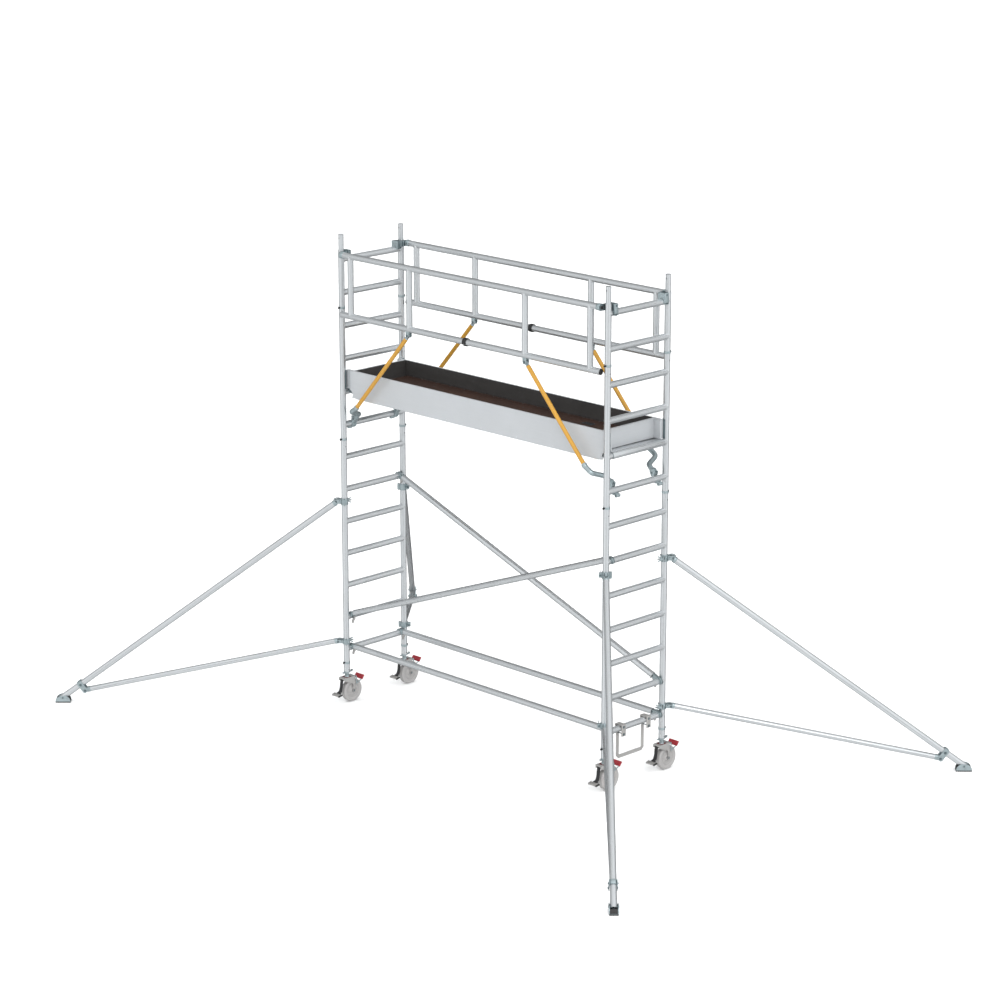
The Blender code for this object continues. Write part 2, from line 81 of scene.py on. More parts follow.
def material(name, colour, metallic=0.0, rough=(0.3, 0.5), vary=0.06, grain=(1, 1, 1), size=60.0, bump=0.02,
        turn=(0, 0, 0), specks=None, coat=0.0, extra=None):
    """Principled material: colour and roughness vary with a noise stretched along the grain.

    specks is (scale, colour, amount): scuffs or dust laid over the colour where a second noise is high.
    extra adds the pressed mesh pattern of film-faced plywood, or the crystals of a zinc coat.
    """
    mat = bpy.data.materials.new(name)
    mat.use_nodes = True
    tree = mat.node_tree
    shader = tree.nodes["Principled BSDF"]
    shader.inputs["Metallic"].default_value = metallic
    shader.inputs["Coat Weight"].default_value = coat
    where = add_node(tree, "TexCoord", "Object", {})
    along = add_node(tree, "Mapping", "Vector", {"Vector": where, "Rotation": turn,
        "Scale": [1.0 / g for g in grain]}, vector_type="TEXTURE")
    noise = add_node(tree, "TexNoise", "Fac", {"Vector": along, "Scale": size, "Detail": 5.0})
    cloud = add_node(tree, "TexNoise", "Fac", {"Vector": where, "Scale": 3.5, "Detail": 3.0})
    both = add_node(tree, "Math", 0, {0: noise, 1: cloud}, operation="ADD")
    tone = add_node(tree, "MapRange", "Result", {"Value": both, "From Min": 0.7, "From Max": 1.3})
    dark = [max(0.0, c * (1 - vary)) for c in colour]
    light = [min(1.0, c * (1 + vary)) for c in colour]
    out = add_node(tree, "Mix", "Result", {"Factor": tone, "A": (*dark, 1), "B": (*light, 1)},
        data_type="RGBA")
    if specks:
        scale, tint, amount = specks
        spot = add_node(tree, "TexNoise", "Fac", {"Vector": where, "Scale": scale, "Detail": 6.0,
            "Roughness": 0.65})
        gate = add_node(tree, "MapRange", "Result", {"Value": spot, "From Min": 0.58, "From Max": 0.72,
            "To Max": amount})
        out = add_node(tree, "Mix", "Result", {"Factor": gate, "A": out, "B": (*tint, 1)}, data_type="RGBA")
    height = noise
    if extra == "mesh":
        height = add_node(tree, "TexVoronoi", "Distance", {"Vector": where, "Scale": 160.0,
            "Randomness": 0.0})
    if extra == "spangle":
        cells = add_node(tree, "TexVoronoi", "Color", {"Vector": where, "Scale": 140.0})
        flake = add_node(tree, "HueSaturation", "Color", {"Color": cells, "Saturation": 0.0})
        out = add_node(tree, "Mix", "Result", {"Factor": 0.25, "A": out, "B": flake}, data_type="RGBA",
            blend_type="MULTIPLY")
    gloss = add_node(tree, "MapRange", "Result", {"Value": noise, "From Min": 0.3, "From Max": 0.7,
        "To Min": rough[0], "To Max": rough[1]})
    relief = add_node(tree, "Bump", "Normal", {"Strength": bump, "Distance": 0.001, "Height": height})
    tree.links.new(out, shader.inputs["Base Color"])
    tree.links.new(gloss, shader.inputs["Roughness"])
    tree.links.new(relief, shader.inputs["Normal"])
    return mat


ALU = (0.66, 0.68, 0.695)
FINE = dict(metallic=0.88, rough=(0.24, 0.34), vary=0.04, bump=0.03, size=90.0)
M = {
    "alu_x": material("aluminium_along_x", ALU, grain=(0.02, 1, 1), **FINE),
    "alu_y": material("aluminium_along_y", ALU, grain=(1, 0.02, 1), **FINE),
    "alu_z": material("aluminium_along_z", ALU, grain=(1, 1, 0.02), **FINE),
    "alu_leg": material("aluminium_along_leg", ALU, grain=(0.02, 1, 1), turn=(0, atan(LEG_FALL), 0),
        **FINE),
    "alu_stay": material("aluminium_along_stay", ALU, grain=(0.02, 1, 1), turn=(0, atan(STAY_FALL), 0),
        **FINE),
    "weld": material("weld_bead", (0.62, 0.63, 0.64), metallic=0.85, rough=(0.4, 0.6), vary=0.12,
        size=350.0, bump=0.3),
    "zinc": material("zinc_plate", (0.44, 0.515, 0.535), metallic=0.85, rough=(0.28, 0.46), vary=0.1,
        size=70.0, bump=0.08, extra="spangle"),
    # dark zinc: a darker copy of the zinc plate for small hardware, and painted shade on the rail-bracket
    # web, outer flange and arm plate and on the corner plates round the standards
    "zinc_dark": material("zinc_plate_dark_and_painted_shade", (0.19, 0.235, 0.25), metallic=0.85, rough=(0.38, 0.55),
        vary=0.12, size=90.0, bump=0.08, extra="spangle"),
    "yellow": material("yellow_powder_coat", (0.47, 0.24, 0.022), rough=(0.34, 0.46), vary=0.07,
        size=260.0, bump=0.1, coat=0.15, specks=(38.0, (0.32, 0.17, 0.03), 0.35)),
    "red": material("red_moulding", (0.27, 0.011, 0.019), rough=(0.34, 0.48), vary=0.1, size=220.0,
        bump=0.08, specks=(60.0, (0.25, 0.03, 0.03), 0.4)),
    "red_dark": material("red_insert", (0.12, 0.014, 0.018), rough=(0.4, 0.55), vary=0.12, size=200.0,
        bump=0.08, specks=(55.0, (0.3, 0.12, 0.12), 0.4)),
    "black": material("black_moulding", (0.012, 0.012, 0.013), rough=(0.42, 0.6), vary=0.2, size=300.0,
        bump=0.12, specks=(70.0, (0.05, 0.05, 0.05), 0.5)),
    "rubber": material("black_rubber", (0.022, 0.022, 0.022), rough=(0.62, 0.82), vary=0.25, size=420.0,
        bump=0.25, specks=(45.0, (0.1, 0.1, 0.095), 0.45)),
    "sole": material("grey_rubber", (0.16, 0.165, 0.165), rough=(0.6, 0.8), vary=0.15, size=380.0,
        bump=0.25, specks=(50.0, (0.3, 0.3, 0.29), 0.4)),
    "nylon": material("warm_grey_nylon", (0.33, 0.32, 0.315), rough=(0.36, 0.5), vary=0.06, size=200.0,
        bump=0.07, specks=(40.0, (0.25, 0.24, 0.235), 0.35)),
    "fork": material("plated_pressing", (0.42, 0.41, 0.4), metallic=0.55, rough=(0.36, 0.5), vary=0.07,
        size=120.0, bump=0.06, specks=(35.0, (0.32, 0.31, 0.3), 0.35)),
    "hub": material("grey_hub_cap", (0.2, 0.2, 0.2), rough=(0.4, 0.55), vary=0.1, size=160.0, bump=0.06),
    "ply": material("film_faced_plywood", (0.03, 0.014, 0.009), rough=(0.45, 0.62), vary=0.22, size=26.0,
        bump=0.25, extra="mesh", specks=(24.0, (0.07, 0.045, 0.035), 0.3)),
    "ply_edge": material("plywood_edge", (0.11, 0.06, 0.035), rough=(0.6, 0.75), vary=0.35,
        grain=(0.05, 0.05, 9.0), size=30.0, bump=0.2),
    "toe_out": material("toe_board_outer", (0.42, 0.435, 0.45), metallic=0.15, rough=(0.38, 0.52),
        grain=(0.03, 0.03, 1), vary=0.035, size=110.0, bump=0.05, specks=(9.0, (0.37, 0.38, 0.39), 0.25)),
    # painted shade: a near-black copy of the toe board, laid on the inner faces and under the end boards
    # where shade falls
    "painted_toe_shade": material("toe_board_painted_shade", (0.04, 0.038, 0.037), metallic=0.0, rough=(0.42, 0.6),
        grain=(0.05, 0.05, 1), vary=0.18, size=70.0, bump=0.08, specks=(18.0, (0.08, 0.08, 0.078), 0.3)),
    # painted shade: near-black for the insides of holes and slots; the same dark fills the seams of the
    # corner returns
    "seam_and_hole_shade": material("dark_seam_and_painted_hole_shade", (0.01, 0.01, 0.01), rough=(0.8, 0.9), vary=0.2, size=90.0),
}


# ---- mesh building ----
class Piece:
    """Solids gathered in one mesh; each keeps the material it was made with."""

    def __init__(self, place=None):
        self.bm = bmesh.new()
        self.place = place or Matrix.Identity(4)
        self.names = []
        self.local = Matrix.Identity(4)

    def _take(self, bm, mat):
        if mat not in self.names:
            self.names.append(mat)
        index = self.names.index(mat)
        bmesh.ops.transform(bm, matrix=self.local, verts=bm.verts)
        bmesh.ops.recalc_face_normals(bm, faces=bm.faces)
        for face in bm.faces:
            face.material_index = index
        mesh = bpy.data.meshes.new("shape")
        bm.to_mesh(mesh)
        bm.free()
        self.bm.from_mesh(mesh)
        bpy.data.meshes.remove(mesh)

    def lathe(self, mat, at, axis, profile, seg=36):
        """Profile of (radius, height) along an axis from a point; a radius of 0 closes the end."""
        turn = Vector(axis).to_track_quat("Z", "Y").to_matrix().to_4x4()
        move = Matrix.Translation(Vector(at)) @ turn
        bm = bmesh.new()
        rings = []
        for r, h in profile:
            if r <= 1e-7:
                rings.append([bm.verts.new((0, 0, h))])
            else:
                rings.append([bm.verts.new((r * cos(2 * pi * k / seg), r * sin(2 * pi * k / seg), h))
                    for k in range(seg)])
        for a, b in zip(rings, rings[1:]):
            for k in range(seg):
                n = (k + 1) % seg
                quad = [a[k % len(a)], a[n % len(a)], b[n % len(b)], b[k % len(b)]]
                quad = list(dict.fromkeys(quad))
                if len(quad) > 2:
                    bm.faces.new(quad)
        bmesh.ops.transform(bm, matrix=move, verts=bm.verts)
        self._take(bm, mat)

    def turned(self, mat, at, axis, profile, seg=36):
        """Lathe shape closed by a flat face at each end of its profile."""
        self.lathe(mat, at, axis, [(0, profile[0][1]), *profile, (0, profile[-1][1])], seg)

    def tube(self, mat, p, q, r, wall=0.0022, depth=0.05, seg=40, open_ends=(True, True), lip=0.0007):
        """Round tube between two points, its open ends hollow for a short way in."""
        p, q = Vector(p), Vector(q)
        length = (q - p).length
        start = [(0, depth), (r - wall, depth), (r - wall, lip * 0.5),
            (r - wall * 0.6, 0)] if open_ends[0] else [(0, 0)]
        end = [(r - wall * 0.6, length), (r - wall, length - lip * 0.5), (r - wall, length - depth),
            (0, length - depth)] if open_ends[1] else [(0, length)]
        body = [(r - lip, 0), (r, lip), (r, length / 3), (r, 2 * length / 3), (r, length - lip),
            (r - lip, length)]
        self.lathe(mat, p, q - p, start + body + end, seg)

    def box(self, mat, x, y, z, bevel=0.0015, tilt=None, segments=2):
        centre = Vector(((x[0] + x[1]) / 2, (y[0] + y[1]) / 2, (z[0] + z[1]) / 2))
        size = (abs(x[1] - x[0]), abs(y[1] - y[0]), abs(z[1] - z[0]))
        bm = bmesh.new()
        bmesh.ops.create_cube(bm, size=1.0, matrix=Matrix.Diagonal((*size, 1.0)))
        edge = min(bevel, min(size) * 0.4)
        if edge > 0:
            bmesh.ops.bevel(bm, geom=bm.edges, offset=edge, segments=segments, profile=0.6, affect="EDGES",
                clamp_overlap=True)
        bmesh.ops.transform(bm, matrix=Matrix.Translation(centre) @ (tilt or Matrix.Identity(4)),
            verts=bm.verts)
        self._take(bm, mat)

    def slab(self, mat, outline, normal, low, high, bevel=0.001, move=None):
        """Flat outline extruded along X, Y or Z, its long edges rounded."""
        lift = {"X": lambda a, b, c: (c, a, b), "Y": lambda a, b, c: (a, c, b),
            "Z": lambda a, b, c: (a, b, c)}[normal]
        low, high = sorted((low, high))
        bm = bmesh.new()
        face = bm.faces.new([bm.verts.new(lift(a, b, low)) for a, b in outline])
        side = bmesh.ops.extrude_face_region(bm, geom=[face])
        top = [v for v in side["geom"] if isinstance(v, bmesh.types.BMVert)]
        shift = Vector(lift(0, 0, high - low))
        bmesh.ops.translate(bm, vec=shift, verts=top)
        bmesh.ops.recalc_face_normals(bm, faces=bm.faces)
        if bevel > 0:
            axis = {"X": 0, "Y": 1, "Z": 2}[normal]
            rim = [e for e in bm.edges if abs(e.verts[0].co[axis] - e.verts[1].co[axis]) < 1e-9]
            bmesh.ops.bevel(bm, geom=rim, offset=bevel, segments=2, profile=0.6, affect="EDGES",
                clamp_overlap=True)
        if move:
            bmesh.ops.transform(bm, matrix=move, verts=bm.verts)
        self._take(bm, mat)

    def sweep(self, mat, points, r, seg=12, closed=False, flat=None, round_off=0):
        """Section carried along a run of points: round, or flat=(width, thickness, up)."""
        points = [Vector(p) for p in points]
        for _ in range(round_off):
            cut = [points[0]] if not closed else []
            pairs = list(zip(points, points[1:] + (points[:1] if closed else [])))
            pairs = pairs if closed else pairs[:len(points) - 1]
            for a, b in pairs:
                cut += [a.lerp(b, 0.25), a.lerp(b, 0.75)]
            points = cut if closed else cut + [points[-1]]
        count = len(points)
        bm = bmesh.new()
        rings, up = [], None
        for i, p in enumerate(points):
            before = points[i - 1] if (i or closed) else p
            after = points[(i + 1) % count] if (i < count - 1 or closed) else p
            way = (after - before).normalized()
            if flat:
                up = Vector(flat[2])
            elif up is None:
                up = way.orthogonal()
            side = way.cross(up).normalized()
            lift = side.cross(way).normalized()
            up = up if flat else lift
            if flat:
                w, t = flat[0] / 2, flat[1] / 2
                e = min(w, t) * 0.35
                shape = [(w, t - e), (w - e, t), (-w + e, t), (-w, t - e), (-w, -t + e), (-w + e, -t),
                    (w - e, -t), (w, -t + e)]
            else:
                shape = [(r * cos(2 * pi * k / seg), r * sin(2 * pi * k / seg)) for k in range(seg)]
            rings.append([bm.verts.new(p + side * a + lift * b) for a, b in shape])
        n = len(rings[0])
        for i in range(count if closed else count - 1):
            a, b = rings[i], rings[(i + 1) % count]
            for k in range(n):
                bm.faces.new((a[k], a[(k + 1) % n], b[(k + 1) % n], b[k]))
        if not closed:
            bm.faces.new(rings[0])
            bm.faces.new(rings[-1][::-1])
        self._take(bm, mat)

    def pin(self, mat, at, axis, r, length, seg=16):
        """Plain round bar."""
        self.turned(mat, at, axis, [(r, 0), (r, length)], seg)

    def bolt(self, mat, at, axis, r=0.007, h=0.005, washer=True):
        """Hexagon head on a washer."""
        base = 0.0
        if washer:
            self.turned(mat, at, axis, [(r * 1.45, 0), (r * 1.5, 0.0004), (r * 1.45, 0.0014)], 20)
            base = 0.0013
        self.turned(mat, at, axis, [(r, base), (r, base + h * 0.75), (r * 0.82, base + h)], 6)

    def rivet(self, mat, at, axis, r=0.004):
        self.lathe(mat, at, axis, [(0, -0.0005), (r, -0.0005), (r, r * 0.15), (r * 0.8, r * 0.42),
            (r * 0.4, r * 0.58), (0, r * 0.62)], 14)

    def done(self, name, body, nodes=()):
        bmesh.ops.remove_doubles(self.bm, verts=self.bm.verts, dist=1e-7)
        mesh = bpy.data.meshes.new(name)
        self.bm.to_mesh(mesh)
        self.bm.free()
        for key in self.names:
            mesh.materials.append(M[key])
        mesh.shade_smooth()
        mesh.set_sharp_from_angle(angle=CREASE)
        obj = bpy.data.objects.new(name, mesh)
        obj.matrix_world = self.place
        link(obj)
        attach(obj, body)
        if nodes:
            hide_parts(*nodes)
        return obj

    def cover(self, node, body):
        """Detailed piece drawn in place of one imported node."""
        return self.done(node + "_detail", body, [node])


def arc(r, start, stop, steps):
    turns = [radians(start + (stop - start) * i / steps) for i in range(steps + 1)]
    return [(r * cos(t), r * sin(t)) for t in turns]


def hoop(outer, inner, start, stop, steps):
    """Outline of a bent strip between two radii."""
    return arc(outer, start, stop, steps) + arc(inner, stop, start, steps)


def mm(*points):
    """Points given in millimetres."""
    return [tuple(c / 1000 for c in point) for point in points]


def shifted(points, du, dv):
    return [(du + a, dv + b) for a, b in points]


def saddle(piece, mat, centre, bar, post, r_bar, r_post, bead=0.0026, way=1):
    """Weld bead where a round bar meets a round post; bar and post are unit axes."""
    bar, post = Vector(bar), Vector(post)
    across = bar.cross(post)
    line = []
    for k in range(28):
        t = 2 * pi * k / 28
        a, b = r_bar * cos(t), r_bar * sin(t)
        out = sqrt(max(0.0, r_post ** 2 - a ** 2))
        line.append(Vector(centre) + across * a + post * b + bar * way * (out + bead * 0.25))
    piece.sweep(mat, line, bead, seg=7, closed=True)


def spring_clip(piece, at, way):
    """Locking pin through a standard with its spring band round the tube; way is the pin's side in Y."""
    x, y, z = at
    piece.turned("black", (x, y + way * (R_TUBE - 0.002), z), (0, way, 0),
        mm((8, 0), (8, 4), (5.6, 5.5), (5.6, 11), (8, 12), (8, 16.5), (5, 18)), 20)
    for start, stop in ((20, 200), (214, 340)):  # spring band round the tube, open at the pin
        band = [((R_TUBE + c) * sin(radians(d)), way * (R_TUBE + c) * cos(radians(d))) for c,
            run in ((0.003, range(start, stop + 1, 6)), (0.0003, range(stop, start - 1, -6))) for d in run]
        piece.slab("zinc", [(x + a, y + b) for a, b in band], "Z", z - 0.0095, z + 0.0095, 0.0008)
    # painted shade: a near-black disc stands for the inside of the pin's hole
    piece.pin("seam_and_hole_shade", (x + R_TUBE - 0.0012, y, z - 0.062), X, 0.0042, 0.0013, 16)


# ---- ladder frames ----
def ladder(name, side, bottom, top, rungs, last):
    x = side * HALF_L
    p = Piece()
    for y in (-HALF_W, HALF_W):
        out = 1 if y > 0 else -1
        p.tube("alu_z", (x, y, bottom), (x, y, top), R_TUBE, open_ends=(False, False), lip=0.0011, seg=48)
        p.tube("alu_z", (x, y, top - 0.01), (x, y, top + 0.134), R_SPIGOT, open_ends=(False, True),
            lip=0.0012, seg=40, depth=0.08)
        if last:
            for way in (-1, 1):
                # painted shade: near-black discs stand for the insides of the spigot's pin holes
                p.pin("seam_and_hole_shade", (x, y + way * (R_SPIGOT - 0.0012), top + 0.134 - 0.032), (0, way, 0), 0.0048,
                    0.0013, 18)
                p.lathe("alu_z", (x, y + way * (R_SPIGOT - 0.0012), top + 0.134 - 0.032), (0, way, 0),
                    mm((4.8, 0), (6, 0), (5.8, 1.7), (4.9, 1.7), (4.8, 0)), 18)
        spring_clip(p, (x, y, bottom + CLIP_UP), out)
    for k in rungs:
        z = RUNG_0 + k * PITCH
        p.tube("alu_y", (x, -HALF_W + 0.004, z), (x, HALF_W - 0.004, z), R_TUBE - 0.0003,
            open_ends=(False, False), seg=48)
        for way in (-1, 1):
            saddle(p, "weld", (x, way * HALF_W, z), Y, Z, R_TUBE, R_TUBE, way=-way)
        for flute in range(-1, 2):  # raised grip lines along the tread of the rung
            a = radians(90 + flute * 16)
            dx, dz = (R_TUBE - 0.0004) * cos(a), (R_TUBE - 0.0004) * sin(a)
            p.sweep("alu_y", [(x + dx, -HALF_W + 0.034, z + dz), (x + dx, HALF_W - 0.034, z + dz)], 0.0011,
                seg=6)
    p.cover(name, "tower")


for side, word in ((-1, "left"), (1, "right")):
    ladder("frame_lower_" + word, side, FOOT_Z, JOINT_1, range(0, 7), False)
    ladder("frame_middle_" + word, side, JOINT_1 + 0.0004, JOINT_2, range(7, 11), False)
    ladder("frame_top_" + word, side, JOINT_2 + 0.0004, HEAD_Z, range(11, 13), True)


# ---- hooks over the rungs ----
def hook_line(z, neck, top, low, tilt=0.0, tip=-35.0, outer=HOOK_OUT):
    line = arc(outer, tip, 95, 14) + [(-neck, top), (-neck, low)] + arc(outer, 186, 205, 3)
    line += arc(HOOK_IN, 205, tip, 26)
    turn = Matrix.Rotation(tilt, 2)
    return [(HALF_L + (turn @ Vector(q)).x, z + (turn @ Vector(q)).y) for q in line]


def claw(p, z, y, tilt=0.0, tip=-35.0, mirror=False):
    """Claw over a rung: side plates, rivets and a spring latch; mirror puts it on the -X end."""
    keep = p.local.copy()
    p.local = keep @ (Matrix.Scale(-1, 4, X) if mirror else Matrix.Identity(4))
    y0, y1 = y
    mid = (y0 + y1) / 2
    p.slab("zinc", hook_line(z, NECK, NECK_TOP, 0.0, tilt, tip), "Y", y0, y1, 0.0018)
    turn = Matrix.Rotation(tilt, 2)
    ridge = [(HALF_L + (turn @ Vector(q)).x, z + (turn @ Vector(q)).y)
        for q in arc(HOOK_OUT + 0.0016, tip + 6, 128, 22)]
    for v in (y0 + 0.0035, y1 - 0.0035):  # raised edges of the casting
        p.sweep("zinc_dark", [(a, v, b) for a, b in ridge], 0.0022, seg=8)
    for face, way in ((y0, -1), (y1, 1)):
        for reach, r in ((0.55, 0.0055), (0.85, 0.0045)):
            p.rivet("zinc_dark", (HALF_L - NECK * reach, face, z + NECK_TOP * 0.5), (0, way, 0), r)
    a, b = (HALF_L - 0.047, z - 0.002), (HALF_L - 0.031, z - 0.056)
    p.slab("fork", [(a[0] - 0.011, a[1] + 0.01), (a[0] + 0.008, a[1] + 0.008),
        (a[0] + 0.0135, a[1] - 0.016), (b[0] + 0.005, b[1] + 0.018), (b[0] + 0.004, b[1] + 0.002),
        (b[0] - 0.002, b[1] - 0.002), (b[0] - 0.008, b[1] + 0.002), (b[0] - 0.012, b[1] + 0.02),
        (a[0] - 0.012, a[1] - 0.014)], "Y", mid - 0.0065, mid + 0.0065, 0.0014)
    p.pin("zinc_dark", (a[0], mid - 0.0115, a[1]), Y, 0.005, 0.023, 14)
    p.local = keep


for word, place in (("front", Matrix.Identity(4)), ("rear", HALF_TURN)):
    y = (-BRACE_Y - 0.015, -BRACE_Y + 0.015)
    z = RUNG_0 + BRACE_LIFT
    p = Piece(place)
    p.tube("alu_x", (-HALF_L + 0.056, -BRACE_Y, z), (HALF_L - 0.056, -BRACE_Y, z), R_TUBE - 0.0002, seg=40,
        depth=0.012)
    for flip in (False, True):
        claw(p, RUNG_0, y, mirror=flip)
    p.cover("base_brace_" + word, "tower")
    low, high = RUNG_0 + PITCH, RUNG_0 + 5 * PITCH
    rise = atan2(high - low, 2 * HALF_L)
    reach = HALF_L - 0.056
    mid = (low + high) / 2 + BRACE_LIFT
    p = Piece(place)
    p.tube("alu_x", (-reach, -BRACE_Y, mid - reach * tan(rise)), (reach, -BRACE_Y, mid + reach * tan(rise)),
        R_TUBE - 0.0002, seg=40, depth=0.012)
    claw(p, high, y, tilt=rise, tip=-55.0)
    claw(p, low, y, tilt=-rise, tip=-15.0, mirror=True)
    p.cover("diagonal_brace_" + word, "tower")

# ---- platform ----
p = Piece()
for s in (-1, 1):
    outer, inner = s * 0.2995, s * 0.255
    web = s * 0.2958
    section = [(outer, 2.67), (outer, 2.762), (inner, 2.762), (inner, 2.757), (web, 2.757), (web, 2.722),
        (s * 0.2925, 2.72), (s * 0.2925, 2.712), (web, 2.71), (web, 2.675), (inner, 2.675), (inner, 2.67)]
    p.slab("alu_x", section, "X", -1.3895, 1.3895, 0.0)
    for z in (2.7065, 2.69):
        p.sweep("alu_x", [(x, outer + s * 0.0001, z) for x in (-1.389, 1.389)], 0.0016, seg=6)
for s in (-1, 1):
    p.box("alu_y", (s * 1.36, s * 1.3885), (-0.2975, 0.2975), (2.6735, 2.7435), 0.003)
    for y in (-0.2, -0.07, 0.07, 0.2):
        p.rivet("zinc", (s * 1.3885, y, 2.709), (s, 0, 0), 0.004)
for x in RIBS:
    p.box("alu_y", (x - 0.018, x + 0.018), (-0.2975, 0.2975), (2.716, 2.7615), 0.002)
for x in (HATCH[0] - 0.004, HATCH[1] + 0.004):
    p.box("alu_y", (x - 0.024, x + 0.024), (-0.2975, 0.2975), (2.716, 2.7615), 0.002)
for x in (*RIBS, HATCH[0] - 0.004, HATCH[1] + 0.004, -1.36, 1.36):
    for s in (-1, 1):
        for z in (2.722, 2.7):
            p.rivet("alu_x", (x - 0.01, s * 0.2995, z), (0, s, 0), 0.0035)
            p.rivet("alu_x", (x + 0.01, s * 0.2995, z), (0, s, 0), 0.0035)
for s in (-1, 1):  # one long hook over the rung at each end
    keep = p.local.copy()
    p.local = Matrix.Identity(4) if s > 0 else HALF_TURN
    p.slab("alu_y", hook_line(2.72, 0.13, 0.022, -0.034, 0.0, -55.0, 0.0291), "Y", -0.288, 0.288, 0.0012)
    for y in (0.2875, -0.2895):
        p.slab("zinc_dark", hook_line(2.72, 0.1, 0.021, -0.028, 0.0, -48.0, 0.0286), "Y", y, y + 0.002,
            0.0004)
    # painted shade: a thin near-black strip under the end toe board, where it meets the hook
    strip = mm((1433, 2740.5), (1433, 2743.2), (1464, 2743.2), (1476, 2745.2), (1476, 2742.4),
        (1464, 2740.5))
    p.slab("painted_toe_shade", strip, "Y", -0.286, 0.286, 0.0006)
    for y in (-0.262, 0.262):
        # painted shade: near-black discs stand for the insides of the holes in the hook
        p.pin("seam_and_hole_shade", (1.456, y, 2.739), Z, 0.004, 0.0056, 16)
        p.lathe("alu_x", (1.456, y, 2.739), Z, mm((4, 0), (8.5, 0), (8.5, 5.2), (7.4, 6.4), (4, 6.4),
            (4, 0)), 18)
    p.local = keep
p.cover("platform_frame", "tower")


def finish_faces(node, choose, names):
    """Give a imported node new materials, one per face, chosen from its place and normal."""
    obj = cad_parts[node]
    mesh = obj.data
    mesh.materials.clear()
    for key in names:
        mesh.materials.append(M[key])
    for face in mesh.polygons:
        face.material_index = choose(face.center, face.normal)


for node in ("platform_deck", "trapdoor"):
    finish_faces(node, lambda c, n: 0 if abs(n.z) > 0.5 else 1, ["ply", "ply_edge"])
# inner faces of the toe boards take the near-black painted shade; outer faces keep the light grey
for node, s in (("toe_board_front", -1), ("toe_board_rear", 1)):
    finish_faces(node, lambda c, n, s=s: 1 if n.y * s < -0.5 and c.z > 2.762 else 0, ["toe_out", "painted_toe_shade"])
for node, s in (("toe_board_left", -1), ("toe_board_right", 1)):
    finish_faces(node, lambda c, n, s=s: 1 if n.x * s < -0.5 and abs(c.x) < 1.42 else 0,
        ["toe_out", "painted_toe_shade"])
p = Piece()
for sx in (-1, 1):
    for sy in (-1, 1):  # rounded corner plates hugging the standards
        p.local = Matrix.Translation((sx * HALF_L, sy * HALF_W, 0)) @ Matrix.Diagonal((sx, sy, 1, 1))
        rim = hoop(0.0296, 0.0264, 178, 296, 26)
        # painted shade: the plates hugging the standards are cut in the dark zinc
        p.slab("zinc_dark", rim, "Z", 2.7505, 2.9055, 0.0008)
p.local = Matrix.Identity(4)
for s in (-1, 1):
    for x in (-1.405, -1.1, -0.7, -0.3, 0.1, 0.5, 0.9, 1.25, 1.405):
        p.rivet("alu_x", (x, s * 0.305, 2.69), (0, s, 0), 0.0034)
    for x in (-1.4532, 1.4532):  # seams of the corner returns
        p.box("seam_and_hole_shade", (x - 0.0012, x + 0.0012), (s * 0.2995, s * 0.30505), (2.752, 2.905), 0.0002)
p.done("toe_board_corner_plates", "tower")

# screws and hinge leaves on the deck; straps, handle and leaves on the door
p = Piece()
x0, x1, y0, y1 = HATCH
for x in (x0 + 0.19, x1 - 0.19):
    p.box("black", (x - 0.055, x + 0.055), (y1 + 0.0005, y1 + 0.026), (DECK_TOP, DECK_TOP + 0.0016), 0.0006)
    for dx in (-0.044, 0.044):
        p.rivet("zinc_dark", (x + dx, y1 + 0.014, DECK_TOP + 0.0016), Z, 0.0045)
for x in [-1.36 + 0.17 * i for i in range(17)]:
    for y in (-0.271, 0.271):
        if not (x0 - 0.02 < x < x1 + 0.02 and y < 0):
            p.rivet("zinc_dark", (x, y, DECK_TOP - 0.0001), Z, 0.0035)
for x in RIBS:
    for y in (-0.16, -0.05, 0.06, 0.17):
        p.rivet("zinc_dark", (x, y, DECK_TOP - 0.0001), Z, 0.0035)
p.done("deck_screws_and_hinge_leaves", "tower")
p = Piece()
for x in (x0 + 0.19, x1 - 0.19):
    p.box("black", (x - 0.055, x + 0.055), (y1 - 0.04, y1 - 0.0055), (DECK_TOP, DECK_TOP + 0.0016), 0.0006)
    for start in (-0.055, -0.018, 0.019):  # barrel on the hinge line
        p.turned("black", (x + start, y1 - 0.004, DECK_TOP), X, mm((3, 0), (3.4, 0.5), (3.4, 35.5),
            (3, 36)), 16)
    for dx in (-0.044, 0.044):
        p.rivet("zinc_dark", (x + dx, y1 - 0.024, DECK_TOP + 0.0016), Z, 0.0045)
xm = (x0 + x1) / 2
p.box("black", (xm - 0.055, xm + 0.055), (y0 + 0.018, y0 + 0.048), (DECK_TOP, DECK_TOP + 0.0016), 0.0006)
p.sweep("black", [(xm - 0.04, y0 + 0.033, DECK_TOP + 0.001), (xm - 0.04, y0 + 0.033, DECK_TOP + 0.01),
    (xm + 0.04, y0 + 0.033, DECK_TOP + 0.01), (xm + 0.04, y0 + 0.033, DECK_TOP + 0.001)], 0.003, seg=8,
    round_off=2)
for s in (-1, 1):
    p.rivet("zinc_dark", (xm + s * 0.05, y0 + 0.033, DECK_TOP + 0.0016), Z, 0.004)
p.done("trapdoor_hinges_and_handle", "trapdoor")

